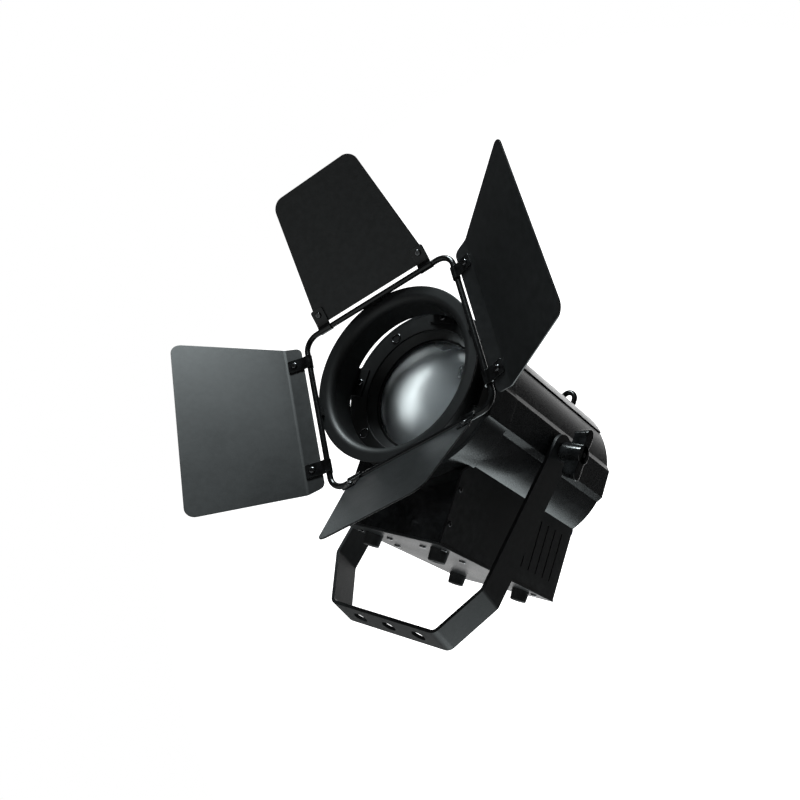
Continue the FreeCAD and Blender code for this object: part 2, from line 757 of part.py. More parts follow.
def box_front_cover():
    body = new_body("box_front_cover")
    low, high = -(d.box_floor - d.base_gauge), box_top()
    (low_y, low_z), (high_y, high_z) = bevel_line()
    outline = polygon((d.box_front, low), (low_y, low), (low_y, low_z), (high_y, high_z),
                      (high_y, high), (d.box_front, high - d.box_front_slope))
    pad(body, "YZ", -d.box_half, d.box_half, outline)
    pocket(body, "XZ", d.box_front, high_y + d.box_wall, circle(d.cover_radius))
    place(body, HEAD)


def base_plate():
    body = new_body("base_plate")
    half = d.box_half + d.box_wall / 2
    pad(body, "XY", -d.box_floor, -(d.box_floor - d.base_gauge),
        rectangle(-half, half, d.box_front, d.barrel_rear))
    place(body, HEAD)


def rubber_feet():
    body = new_body("rubber_feet")
    low = -(d.box_floor + d.foot_height)
    spots = [(side * d.foot_across, back) for side in (-1, 1) for back in (d.foot_front, d.foot_rear)]
    pad(body, "XY", low, -d.box_floor, *[circle(d.foot_radius, a, b) for a, b in spots])
    pocket(body, "XY", low, low + d.foot_height / 2,
           *[circle(d.foot_radius / 3, a, b) for a, b in spots])
    place(body, HEAD)


def base_screws():
    body = new_body("base_screws")
    edge = d.box_half - d.foot_radius
    corners = [(side * edge, back) for side in (-1, 1)
               for back in (d.foot_front - d.foot_radius, d.foot_rear + d.foot_radius)]
    boards = [(side * d.foot_across / 2, d.foot_front) for side in (-1, 1)]
    boards += [(side * d.foot_across, d.foot_front + d.foot_across) for side in (-1, 1)]
    head = d.small_screw
    pad(body, "XY", -(d.box_floor + head / 2), -d.box_floor,
        *[circle(head, a, b) for a, b in corners + boards])
    place(body, HEAD)


def side_screws():
    body = new_body("side_screws")
    head = d.side_screw
    back = d.box_front + d.base_gauge + head * 2
    rises = (-d.slot_high - d.slot_pitch, -d.slot_low + d.slot_pitch / 4)
    for side in (-1, 1):
        near, far = d.box_half * side, (d.box_half + head / 2) * side
        low, high = (near, far) if side > 0 else (far, near)
        pad(body, "YZ", low, high, *[circle(head, back, rise) for rise in rises])
    place(body, HEAD)


def board(name, left, right, front, rear, low, high):
    body = new_body(name)
    pad(body, "XY", low, high, rectangle(left, right, front, rear))
    place(body, HEAD)


def boards():
    floor = -(d.box_floor - d.base_gauge)
    inside = d.box_half - d.box_wall * 4
    front, rear = d.foot_front, d.foot_rear
    stand = d.base_gauge
    board("power_supply", -inside, -stand, front, rear, floor, floor + d.foot_height * 3)
    board("driver_board", stand, inside, front, rear, floor + stand, floor + stand * 2)
    wall = d.barrel_rear - d.box_wall
    board("control_board", -d.foot_across, d.foot_across, wall - d.foot_height, wall - d.foot_radius,
          floor, floor + d.foot_height * 3)


def rear_panel():
    body = new_body("rear_panel")
    low, high = panel_rows()
    half = d.box_half - d.foot_radius / 2
    front, rear = d.barrel_rear, d.barrel_rear + d.box_wall
    pad(body, "XZ", front, rear, rectangle(-half, half, low - d.data_radius - d.box_wall,
                                           high + d.button_pitch / 2))
    pocket(body, "XZ", front, rear, *button_holes())
    place(body, HEAD)


def panel_rows():
    """Heights of the row of buttons and of the display above it."""
    low = -(d.box_floor - d.base_gauge - d.data_radius - d.foot_height)
    return low, low + d.display_rise


def button_spots():
    low, _ = panel_rows()
    return [(d.button_pitch * (i - (BUTTONS - 1) / 2), low) for i in range(BUTTONS)]


def button_holes():
    return [circle(d.button_radius + d.button_gap, a, b) for a, b in button_spots()]


def buttons():
    rear = d.barrel_rear + d.box_wall
    for i, (across, up) in enumerate(button_spots(), start=1):
        body = new_body(f"button_{i}")
        pad(body, "XZ", d.barrel_rear - d.box_wall * 2, rear + d.button_travel * 2,
            circle(d.button_radius, across, up))
        place(body, HEAD)


def display_window():
    body = new_body("display_window")
    _, high = panel_rows()
    rear = d.barrel_rear + d.box_wall
    half = d.display_half
    pad(body, "XZ", rear, rear + d.box_wall / 3,
        rectangle(-half, half, high - d.button_pitch / 2 + d.box_wall / 2,
                  high + d.button_pitch / 2 - d.box_wall / 2))
    place(body, HEAD)


def panel_socket(name, across, up, radius, front, length):
    """A round chassis socket on its square flange."""
    body = new_body(name)
    flange = d.box_wall
    half = radius + flange
    pad(body, "XZ", front, front + flange,
        rectangle(across - half, across + half, up - half, up + half))
    pad(body, "XZ", front + flange, front + length, circle(radius, across, up))
    pocket(body, "XZ", front + length / 2, front + length, circle(radius - flange, across, up))
    place(body, HEAD)


def sockets():
    low, _ = panel_rows()
    up = -chord_reach(d.barrel_radius, d.box_half) - d.box_wall
    across = d.box_half - d.socket_radius - d.box_wall * 2
    panel_socket("power_inlet", across, up, d.socket_radius - d.box_wall, d.barrel_rear,
                 d.power_socket_length)
    panel_socket("power_outlet", -across, up, d.socket_radius - d.box_wall, d.barrel_rear,
                 d.power_socket_length)
    on_panel = d.barrel_rear + d.box_wall
    data_across = d.box_half - d.data_radius - d.foot_radius
    for name, side in (("data_in", 1), ("data_out", -1)):
        panel_socket(name, data_across * side, low, d.data_radius - d.box_wall, on_panel,
                     d.data_socket_length)


def safety_eye():
    body = new_body("safety_eye")
    spots = [d.eye_across - d.eye_radius, d.eye_across + d.eye_radius]
    centre = d.cover_radius + d.eye_leg - d.eye_rod
    pad(body, "XY", d.cover_radius - d.eye_leg, centre,
        *[circle(d.eye_rod, across, d.eye_back) for across in spots])
    place_loop(body, centre)
    place(body, HEAD)


def place_loop(body, centre):
    """The bent top of the eye, half a turn about the middle between its two legs."""
    leg = circle(d.eye_rod, d.eye_across + d.eye_radius, d.eye_back)
    sketch = new_sketch(body, "XY", [leg], centre)
    line = sketch.addGeometry(Part.LineSegment(
        VECTOR(number(d.eye_across), 0, 0), VECTOR(number(d.eye_across), 1, 0)), True)
    pin_point(sketch, line, 1, d.eye_across, 0.0)
    pin_point(sketch, line, 2, d.eye_across, 1.0)
    bend = body.newObject("PartDesign::Revolution", "safety_eye_bend")
    bend.Profile = sketch
    bend.ReferenceAxis = (sketch, ["Axis0"])
    bend.Angle = FULL_TURN / 2
    bend.Reversed = True
    doc.recompute()


# ---------------------------------------------------------------- tilt pivot
PIVOT = HEAD * FreeCAD.Placement(VECTOR(0, number(d.pivot_back), -number(d.axis_rise)),
                                 FreeCAD.Rotation())


def pivot_washers():
    body = new_body("pivot_washers")
    near, far = d.rail_half, d.yoke_inner_half - d.body_gap
    bore = d.stud_diameter / 2 + d.running_fit
    for low, high in ((near, far), (-far, -near)):
        pad(body, "YZ", low, high, circle(d.washer_radius))
        pocket(body, "YZ", low, high, circle(bore))
    place(body, PIVOT)


def tilt_knob(name, side):
    """Wing knob with its stud, drawn with x outwards from the pivot."""
    body = new_body(name)
    arm = d.yoke_inner_half + d.yoke_gauge + d.body_gap
    face = arm + d.knob_length
    wing = face - d.knob_wing_depth
    pad(body, "YZ", d.rail_half - d.stud_depth, arm, circle(d.stud_diameter / 2))
    pad(body, "YZ", arm, face, circle(d.knob_hub_radius))
    half = d.knob_wing_width / 2
    tip = d.knob_wing_span / 2 - d.knob_tip_radius
    pad(body, "YZ", wing, face, rectangle(-half, half, -tip, tip))
    for end in (tip, -tip):
        pad(body, "YZ", wing, face, circle(d.knob_tip_radius, 0.0, end))
    outwards = FreeCAD.Rotation(Z_AXIS, 0 if side > 0 else 180)
    spin = FreeCAD.Rotation(X_AXIS, -number(d.knob_angle) * side)
    place(body, PIVOT * FreeCAD.Placement(VECTOR(), outwards.multiply(spin)))


# ---------------------------------------------------------------- barn-door set
def ring_front():
    return d.rod_radius + d.running_fit


def door_ring():
    front = ring_front()
    back = front + d.flange_gauge
    inner, outer = d.tube_radius, d.tube_radius + d.tube_wall
    body = turned("door_ring", (d.flange_radius, front), (inner, front), (inner, d.tube_rear),
                  (d.rear_flange, d.tube_rear), (d.rear_flange, d.tube_rear - d.flange_gauge),
                  (outer, d.tube_rear - d.flange_gauge), (outer, back), (d.flange_radius, back))

    def circle_at(radius, back_of):
        def test(edge):
            curve = edge.Curve
            return (curve.TypeId == "Part::GeomCircle" and abs(curve.Radius - number(radius)) < TOUCH
                    and abs(edge.BoundBox.YMin - number(back_of)) < TOUCH)
        return test

    round_edges(body, d.lip_radius, circle_at(inner, front))
    round_edges(body, d.lip_radius - d.tube_wall, circle_at(outer, back))
    place(body, DOOR_SET)


def rod_frame():
    half, corner = d.rod_side / 2, d.rod_corner
    run = d.rod_side - corner * 2
    pieces = []
    for i in range(SIDES):
        turn_by = FreeCAD.Placement(VECTOR(), FreeCAD.Rotation(Y_AXIS, RIGHT_ANGLE * i))
        side = rod(f"frame_side_{i}", d.rod_radius, run, VECTOR(), X_AXIS)
        side.Placement = turn_by * FreeCAD.Placement(
            VECTOR(-number(run / 2), 0, number(half)), FreeCAD.Rotation(Z_AXIS, X_AXIS))
        bend = doc.addObject("Part::Torus", f"frame_corner_{i}")
        bend.setExpression("Radius1", corner.text)
        bend.setExpression("Radius2", d.rod_radius.text)
        bend.Angle3 = RIGHT_ANGLE
        bend.Placement = turn_by * FreeCAD.Placement(
            VECTOR(number(half - corner), 0, number(half - corner)), FreeCAD.Rotation(X_AXIS, RIGHT_ANGLE))
        pieces += [side, bend]
    frame = doc.addObject("Part::MultiFuse", "rod_frame")
    frame.Label = "rod_frame"
    frame.Shapes = pieces
    doc.recompute()
    place(frame, DOOR_SET)


def weld_tabs():
    body = new_body("weld_tabs")
    half, side = d.tab_width / 2, d.rod_side / 2
    tab = pad(body, "YZ", -half, half,
              rectangle(0.0, ring_front(), d.flange_radius - d.tab_overlap,
                        side + d.running_fit * 4))
    repeat_round(body, tab, SIDES)
    for across, up in ((0.0, side), (0.0, -side)):
        pocket(body, "YZ", -half, half, circle(d.rod_radius, across, up))
    pocket(body, "XY", -half, half, circle(d.rod_radius, side, 0.0))
    pocket(body, "XY", -half, half, circle(d.rod_radius, -side, 0.0))
    place(body, DOOR_SET)


# ---------------------------------------------------------------- doors
DOORS = [("top", 0.0, d.top_angle, False), ("left", 90.0, d.left_angle, True),
         ("bottom", 180.0, d.bottom_angle, False), ("right", 270.0, d.right_angle, True)]


def screw_spots():
    return [(side * d.clip_across, d.screw_out) for side in (-1, 1)]


def flat_door(name):
    body = new_body(name)
    half, start = d.sheet_gauge / 2, d.sheet_start
    far = start + d.flat_height
    pad(body, "XY", -half, half,
        polygon((-d.flat_inner_half, start), (d.flat_inner_half, start),
                (d.flat_outer_half, far), (-d.flat_outer_half, far)))
    round_edges(body, d.door_corner, lambda edge: runs_along(edge, Z_AXIS))
    return body


def bent_door(name):
    body = new_body(name)
    half, start = d.sheet_gauge / 2, d.sheet_start
    bend = start + d.bent_flange
    mitre = half * math.tan(math.radians(number(d.bend_angle) / 2))
    pad(body, "XY", -half, half,
        polygon((-d.bent_inner_half, start), (d.bent_inner_half, start),
                (d.bent_middle_half, bend + mitre), (-d.bent_middle_half, bend + mitre)))
    sketch = new_sketch(body, "XY", [polygon(
        (-d.bent_middle_half, -mitre), (d.bent_middle_half, -mitre),
        (d.bent_outer_half, d.bent_panel), (-d.bent_outer_half, d.bent_panel))])
    lift, shift = -half * cosine(d.bend_angle), bend + half * sine(d.bend_angle)
    sketch.AttachmentOffset = FreeCAD.Placement(
        VECTOR(0, number(shift), number(lift)), FreeCAD.Rotation(X_AXIS, number(d.bend_angle)))
    sketch.setExpression("AttachmentOffset.Base.y", shift.text)
    sketch.setExpression("AttachmentOffset.Base.z", lift.text)
    sketch.setExpression("AttachmentOffset.Rotation.Angle", d.bend_angle.text)
    panel = body.newObject("PartDesign::Pad", f"{name}_panel")
    panel.Profile = sketch
    panel.setExpression("Length", d.sheet_gauge.text)
    doc.recompute()
    middle = number(bend + d.bent_flange)

    def outer_corner(edge):
        short = edge.Length < number(d.sheet_gauge) + TOUCH
        return short and edge.CenterOfMass.y > middle

    def inner_corner(edge):
        short = edge.Length < number(d.sheet_gauge) + TOUCH
        return short and edge.CenterOfMass.y < number(start) + TOUCH

    round_edges(body, d.door_corner, outer_corner)
    round_edges(body, d.door_corner / 2, inner_corner)
    return body


def door(name, bent):
    body = bent_door(name) if bent else flat_door(name)
    half = d.sheet_gauge / 2
    pocket(body, "XY", -half, half, *[circle(d.screw_radius, a, b) for a, b in screw_spots()])
    return body


def hinge_clips(name):
    body = new_body(name)
    half_width, under = d.clip_width / 2, d.sheet_gauge / 2
    bore = d.rod_radius + d.running_fit
    for side in (-1, 1):
        middle = side * d.clip_across
        low, high = middle - half_width, middle + half_width
        pad(body, "YZ", low, high, circle(bore + d.clip_gauge))
        pad(body, "YZ", low, high, rectangle(bore, d.clip_tab, under, under + d.clip_gauge))
        pocket(body, "YZ", low, high, circle(bore))
    pocket(body, "XY", under, under + d.clip_gauge,
           *[circle(d.screw_radius, a, b) for a, b in screw_spots()])
    return body


def clip_screws(name):
    body = new_body(name)
    half = d.sheet_gauge / 2
    top, thick = half + d.clip_gauge, d.clip_screw_head
    spots = screw_spots()
    pad(body, "XY", -half, top, *[circle(d.screw_radius, a, b) for a, b in spots])
    pad(body, "XY", top, top + thick, *[circle(d.clip_screw, a, b) for a, b in spots])
    pad(body, "XY", -(half + thick), -half, *[circle(d.clip_screw, a, b) for a, b in spots])
    return body


def doors():
    for side, side_angle, opening, bent in DOORS:
        frame = door_frame(side_angle, opening)
        place(door(f"door_{side}", bent), frame)
        place(hinge_clips(f"clips_{side}"), frame)
        place(clip_screws(f"clip_screws_{side}"), frame)


# ---------------------------------------------------------------- build, check, export
def build():
    yoke_bracket()
    for make in (barrel_shell, top_cover, front_collar, rear_cap, front_plate, front_plate_screws,
                 retaining_brackets, bracket_screws, light_baffle, lens, lens_ring, lens_holder,
                 zoom_knob, guide_rods, bulkhead, reflector, led_module, led_emitter, heat_sink,
                 fan_frame, fan_rotor, driver_box, box_front_cover, base_plate, rubber_feet,
                 base_screws, side_screws, boards, rear_panel, buttons, display_window, sockets,
                 safety_eye, pivot_washers):
        make()
    tilt_knob("tilt_knob_right", 1)
    tilt_knob("tilt_knob_left", -1)
    door_ring()
    rod_frame()
    weld_tabs()
    doors()


def check():
    doc.recompute()
    for item in doc.Objects:
        bad = [state for state in item.State if state in ("Invalid", "Error")]
        if bad:
            raise RuntimeError(f"{item.Label}: {bad}")
    for node in NODES:
        if node.Shape.isNull() or not node.Shape.isValid():
            raise RuntimeError(f"{node.Label}: shape is null or not valid")


def export():
    os.makedirs("parts", exist_ok=True)
    for node in NODES:
        node.Shape.exportStep(f"parts/{node.Label}.step")


build()
check()
export()
print(len(NODES), "nodes written")
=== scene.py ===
# %% [markdown]
# # A small LED fresnel spotlight
# The lamp is a black head with a zoom lens, a driver box under it, a bent steel yoke
# that it tilts in, and a ring of four folding barn doors. Sizes are in millimetres
# in each piece's own frame, and one matrix per frame puts the pieces where they
# belong.

# %% Load the frame
import bmesh
import bpy
import math
from mathutils import Matrix, Vector


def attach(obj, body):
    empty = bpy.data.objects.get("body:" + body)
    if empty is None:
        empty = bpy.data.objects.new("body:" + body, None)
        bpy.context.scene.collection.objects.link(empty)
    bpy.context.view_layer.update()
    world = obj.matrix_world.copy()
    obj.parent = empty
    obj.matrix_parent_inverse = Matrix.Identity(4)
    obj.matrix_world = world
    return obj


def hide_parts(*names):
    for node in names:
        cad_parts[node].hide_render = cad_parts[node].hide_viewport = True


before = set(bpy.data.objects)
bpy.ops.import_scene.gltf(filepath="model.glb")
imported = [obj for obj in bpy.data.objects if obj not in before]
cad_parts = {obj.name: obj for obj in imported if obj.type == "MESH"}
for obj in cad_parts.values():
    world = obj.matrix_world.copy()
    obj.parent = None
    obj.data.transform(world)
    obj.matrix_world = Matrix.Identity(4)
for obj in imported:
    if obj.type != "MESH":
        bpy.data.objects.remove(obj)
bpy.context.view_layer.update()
scene = bpy.context.scene
print("nodes in the frame:", len(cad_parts))

# %% [markdown]
# ## Frames
# The yoke is the fixed frame: +Z up, the lamp faces -Y. The head hangs in it on two
# studs, tilted. The barn doors turn as a set about the optical axis, and each door
# swings on its own side of a square rod. A matrix for each of these lets a piece be
# drawn flat and square first and then be put in place in one step.

# %% Frames of the moving bodies
MM = 0.001
PIVOT_HEIGHT = 190.5
TILT = math.radians(16.46)
PIVOT_BACK, AXIS_RISE = 151.0, 4.0
DOOR_ROLL = math.radians(35.36)
ROD_HALF = 75.0


def shift(x, y, z):
    return Matrix.Translation((x, y, z))


def turn(degrees, axis):
    return Matrix.Rotation(math.radians(degrees), 4, axis)


YOKE = Matrix.Scale(MM, 4)
PIVOT = YOKE @ shift(0, 0, PIVOT_HEIGHT) @ Matrix.Rotation(TILT, 4, "X")
HEAD = PIVOT @ shift(0, -PIVOT_BACK, AXIS_RISE)
DOOR_SET = HEAD @ Matrix.Rotation(-DOOR_ROLL, 4, "Y")


def door_frame(side_angle, opening):
    """x runs along the rod, y out along the door, z towards the beam."""
    side = DOOR_SET @ turn(-side_angle, "Y") @ turn(90, "X")
    return side @ shift(0, ROD_HALF, 0) @ turn(opening, "X")


print("head origin in mm:", [round(v / MM, 1) for v in HEAD.translation])

# %% [markdown]
# ## Finishes
# Nearly everything is black, so the finishes differ in gloss and surface, not in colour.
# Each effect is a node group, built once: the fine grain of a powder coat, paint thinned
# along edges, which also paints in edge highlights, and faint dust. The groups put out
# colours, masks and heights only, and each material keeps its own shader.

# %% Node helpers
def new_group(name, inputs, outputs):
    """A shader node group with its sockets; kind is Color, Float or Vector."""
    group = bpy.data.node_groups.new(name, "ShaderNodeTree")
    for socket, kind, value in inputs:
        made = group.interface.new_socket(
            name=socket, in_out="INPUT", socket_type=f"NodeSocket{kind}")
        if value is not None:
            made.default_value = value
    for socket, kind in outputs:
        group.interface.new_socket(
            name=socket, in_out="OUTPUT", socket_type=f"NodeSocket{kind}")
    nodes = group.nodes
    return group, nodes.new("NodeGroupInput"), nodes.new("NodeGroupOutput")


def link(tree, source, target):
    tree.links.new(source, target)


def feed(tree, value, socket):
    """Link another node's output, or set a plain value."""
    if isinstance(value, bpy.types.NodeSocket):
        link(tree, value, socket)
    else:
        socket.default_value = value


def place_in(tree):
    return tree.nodes.new("ShaderNodeTexCoord").outputs["Object"]


def math_node(tree, operation, first, second):
    node = tree.nodes.new("ShaderNodeMath")
    node.operation = operation
    for socket, value in zip(node.inputs, (first, second)):
        feed(tree, value, socket)
    return node.outputs[0]


def ramp(tree, value, low, high, to_low=0.0, to_high=1.0):
    """Stretch a value from one range to another, clamped at both ends."""
    node = tree.nodes.new("ShaderNodeMapRange")
    link(tree, value, node.inputs["Value"])
    for socket, number in zip(node.inputs[1:5], (low, high, to_low, to_high)):
        socket.default_value = number
    return node.outputs["Result"]


def mix_colour(tree, factor, first, second):
    node = tree.nodes.new("ShaderNodeMix")
    node.data_type = "RGBA"
    for socket, value in zip((node.inputs[0], node.inputs[6], node.inputs[7]),
                             (factor, first, second)):
        feed(tree, value, socket)
    return node.outputs[2]


def noise(tree, vector, scale, detail=2.0, roughness=0.5):
    node = tree.nodes.new("ShaderNodeTexNoise")
    link(tree, vector, node.inputs["Vector"])
    feed(tree, scale, node.inputs["Scale"])
    node.inputs["Detail"].default_value = detail
    node.inputs["Roughness"].default_value = roughness
    return node.outputs["Fac"]


# %% [markdown]
# ### Powder coat
# A powder coat flows into a skin of tiny soft bumps. Two layers of noise make it: one
# for the bumps themselves and one, much larger, that lets the sheen drift a little
# from place to place, as a sprayed and baked panel does.

# %% Powder coat group
def make_powder_coat():
    group, given, out = new_group(
        "powder coat",
        [("Colour", "Color", (0.02, 0.02, 0.02, 1)), ("Drift", "Float", 0.2),
         ("Grain", "Float", 1400.0), ("Gloss", "Float", 0.45)],
        [("Colour", "Color"), ("Roughness", "Float"), ("Height", "Float")])
    where = place_in(group)
    bumps = noise(group, where, given.outputs["Grain"], 1.0, 0.4)
    clouds = noise(group, where, 14.0, 3.0, 0.6)
    lift = ramp(group, clouds, 0.3, 0.7, -0.5, 0.5)
    tone = math_node(group, "MULTIPLY", lift, given.outputs["Drift"])
    bright = group.nodes.new("ShaderNodeHueSaturation")
    link(group, given.outputs["Colour"], bright.inputs["Color"])
    link(group, math_node(group, "ADD", tone, 1.0), bright.inputs["Value"])
    link(group, bright.outputs["Color"], out.inputs["Colour"])
    speckle = ramp(group, bumps, 0.35, 0.65, -0.04, 0.04)
    rough = math_node(group, "ADD", given.outputs["Gloss"], speckle)
    patchy = math_node(group, "MULTIPLY", lift, 0.08)
    link(group, math_node(group, "ADD", rough, patchy), out.inputs["Roughness"])
    link(group, bumps, out.inputs["Height"])
    return group


POWDER_COAT = make_powder_coat()

# %% [markdown]
# ### Worn edges with painted highlights, and dust
# Paint is thinnest on a convex edge, and hands polish it there, so a folded or cast
# edge looks a little lighter; that lighter edge also paints in the thin highlights that
# edges catch, so it is partly real and partly painted highlight. Pointiness finds those
# edges on the bevelled meshes.
# Dust settles on faces that look up, so its mask follows the surface normal.

# %% Edge lightening (thinned paint and painted highlight) and dust groups
def make_edge_wear_and_highlight():
    group, given, out = new_group(
        "edge wear", [("Amount", "Float", 0.5)], [("Mask", "Float")])
    geometry = group.nodes.new("ShaderNodeNewGeometry")
    where = place_in(group)
    # The lighter edge this mask gives is partly thinned paint and partly a painted highlight.
    sharp = ramp(group, geometry.outputs["Pointiness"], 0.51, 0.6)
    broken = ramp(group, noise(group, where, 180.0, 4.0), 0.35, 0.65)
    mask = math_node(group, "MULTIPLY", sharp, broken)
    link(group, math_node(group, "MULTIPLY", mask, given.outputs["Amount"]), out.inputs["Mask"])
    return group


def make_dust():
    group, given, out = new_group("dust", [("Amount", "Float", 0.1)], [("Mask", "Float")])
    geometry = group.nodes.new("ShaderNodeNewGeometry")
    split = group.nodes.new("ShaderNodeSeparateXYZ")
    link(group, geometry.outputs["Normal"], split.inputs[0])
    upward = ramp(group, split.outputs["Z"], 0.2, 1.0)
    where = place_in(group)
    specks = ramp(group, noise(group, where, 900.0, 3.0, 0.7), 0.5, 0.75)
    mask = math_node(group, "MULTIPLY", upward, specks)
    link(group, math_node(group, "MULTIPLY", mask, given.outputs["Amount"]), out.inputs["Mask"])
    return group


EDGE_WEAR_AND_HIGHLIGHT = make_edge_wear_and_highlight()
DUST = make_dust()

# %% [markdown]
# ### Coated, moulded and metal materials
# One function makes a coated black from the three groups. Pieces differ in how dark and
# glossy they are, how coarse the grain is and how deep the bumps. Every maker keeps its
# material in FINISH, under its name.

# %% Material makers
def add_group(tree, group, **values):
    node = tree.nodes.new("ShaderNodeGroup")
    node.node_tree = group
    for socket, value in values.items():
        node.inputs[socket].default_value = value
    return node


FINISH = {}


def new_finish(name):
    """A new material, kept in the table under its name; returns its tree and its shader."""
    material = FINISH[name] = bpy.data.materials.new(name)
    material.use_nodes = True
    return material.node_tree, material.node_tree.nodes["Principled BSDF"]


def add_bump(tree, shader, height, strength, distance):
    bump = tree.nodes.new("ShaderNodeBump")
    bump.inputs["Strength"].default_value = strength
    bump.inputs["Distance"].default_value = distance
    link(tree, height, bump.inputs["Height"])
    link(tree, bump.outputs["Normal"], shader.inputs["Normal"])


def coated(name, colour, gloss, grain=1400.0, depth=0.25, wear=0.4, dust=0.025, drift=0.12):
    """Black paint over metal or plastic: grain, clouds, edges lighter from rubbing and from
    painted highlight, and a little dust.
    """
    tree, shader = new_finish(name)
    coat = add_group(tree, POWDER_COAT, Colour=(*colour, 1), Drift=drift, Grain=grain, Gloss=gloss)
    worn_and_lit = add_group(tree, EDGE_WEAR_AND_HIGHLIGHT, Amount=wear)
    dusty = add_group(tree, DUST, Amount=dust)
    # The pale edge tone is thinned paint and also a painted highlight along convex edges.
    pale_edge_and_highlight = (0.06, 0.062, 0.065, 1)
    grey = (0.2, 0.2, 0.19, 1)
    edges = mix_colour(tree, worn_and_lit.outputs["Mask"], coat.outputs["Colour"], pale_edge_and_highlight)
    link(tree, mix_colour(tree, dusty.outputs["Mask"], edges, grey), shader.inputs["Base Color"])
    link(tree, coat.outputs["Roughness"], shader.inputs["Roughness"])
    add_bump(tree, shader, coat.outputs["Height"], depth, 0.0002)


def metal(name, colour, gloss, streak=(1.0, 1.0, 1.0), scale=300.0, depth=0.1):
    """Bare metal with fine marks; streak stretches the marks along one axis."""
    tree, shader = new_finish(name)
    stretch = tree.nodes.new("ShaderNodeMapping")
    stretch.inputs["Scale"].default_value = streak
    link(tree, place_in(tree), stretch.inputs["Vector"])
    marks = noise(tree, stretch.outputs["Vector"], scale, 4.0, 0.6)
    darker = tuple(c * 0.7 for c in colour) + (1,)
    link(tree, mix_colour(tree, marks, darker, (*colour, 1)), shader.inputs["Base Color"])
    link(tree, ramp(tree, marks, 0.3, 0.7, gloss - 0.06, gloss + 0.08), shader.inputs["Roughness"])
    shader.inputs["Metallic"].default_value = 1.0
    add_bump(tree, shader, marks, depth, 0.0001)


# %% The finishes of this lamp
CHARCOAL = (0.0085, 0.0093, 0.0098)
JET = (0.004, 0.0042, 0.0045)
# This darkest black is painted shade: parts that are the same black as the rest are made darker
# where shade falls on them.
PAINTED_SHADE_BLACK = (0.0016, 0.0017, 0.0018)
coated("powder_black", CHARCOAL, 0.46)
coated("powder_black_shell", CHARCOAL, 0.29, depth=0.03)
coated("door_sheet", CHARCOAL, 0.4, grain=1800.0, depth=0.2, drift=0.15)
coated("gloss_cover", JET, 0.14, grain=900.0, depth=0.03, wear=0.3, drift=0.1)
coated("base_gloss", CHARCOAL, 0.4, grain=900.0, depth=0.12)
coated("satin_black_steel", JET, 0.2, grain=900.0, depth=0.06, drift=0.1)
# A darker copy of the satin black steel; the darker colour is painted shade on the clips.
coated("clip_steel_painted_shade", PAINTED_SHADE_BLACK, 0.1, grain=900.0, depth=0.05, wear=0.5, dust=0.0, drift=0.1)
# A darker copy of the powder black, as painted shade for the parts inside the ring and the barrel.
coated("inner_black_painted_shade", PAINTED_SHADE_BLACK, 0.42, grain=2000.0, depth=0.1, wear=0.1, dust=0.0)
metal("black_screw", (0.17, 0.17, 0.175), 0.18, scale=2500.0)
# The knob's strong edge setting also paints the thin bright lines of its edges as highlight.
coated("knob_plastic", JET, 0.13, grain=1200.0, depth=0.03, wear=0.9, drift=0.1)
coated("nylon_washer", CHARCOAL, 0.3)
coated("black_aluminium", JET, 0.3, grain=2000.0, depth=0.1)
coated("fan_plastic", JET, 0.35, grain=600.0, depth=0.08)
coated("panel_black", JET, 0.4, grain=2400.0, depth=0.2)
coated("foot_rubber", JET, 0.62, grain=1600.0, depth=0.35, dust=0.1)
coated("button_rubber", (0.05, 0.05, 0.052), 0.5, grain=2000.0)
metal("steel_rod", (0.6, 0.6, 0.6), 0.25, (1, 0.05, 1))
metal("reflector_aluminium", (0.85, 0.85, 0.85), 0.18)
metal("sink_aluminium", (0.5, 0.51, 0.52), 0.35, (1, 0.03, 1))
metal("supply_case", (0.55, 0.55, 0.56), 0.35, (0.1, 1, 1))
metal("led_board", (0.7, 0.7, 0.68), 0.4)
print("coated and metal finishes:", len(FINISH))

# %% [markdown]
# ### Glass, glow and the other small finishes
# The lens is pressed glass whose dark tint is painted shade, so that the dark inside stays
# dark. It keeps a plain transmission weight so that the model stays glass. The emitter is a
# disc of yellow phosphor, the boards are green laminate, and the sockets are coloured plastic.

# %% Glass and small finishes
def glass(name, colour, roughness):
    """Glass whose dark tint is painted shade; a slow ripple varies its tint and its polish."""
    tree, shader = new_finish(name)
    where = place_in(tree)
    ripple = noise(tree, where, 25.0)
    tint = tuple(c * 0.98 for c in colour) + (1,)
    link(tree, mix_colour(tree, ripple, tint, (*colour, 1)), shader.inputs["Base Color"])
    link(tree, ramp(tree, ripple, 0.3, 0.7, roughness * 0.7, roughness * 1.3),
         shader.inputs["Roughness"])
    shader.inputs["Transmission Weight"].default_value = 0.98
    shader.inputs["IOR"].default_value = 1.5


def speckled(name, first, second, scale, gloss, depth=0.1):
    """Two close tones in fine specks, for laminates, phosphor and moulded colours."""
    tree, shader = new_finish(name)
    where = place_in(tree)
    specks = noise(tree, where, scale, 3.0, 0.6)
    link(tree, mix_colour(tree, specks, (*first, 1), (*second, 1)), shader.inputs["Base Color"])
    link(tree, ramp(tree, specks, 0.3, 0.7, gloss - 0.05, gloss + 0.05),
         shader.inputs["Roughness"])
    add_bump(tree, shader, specks, depth, 0.0001)


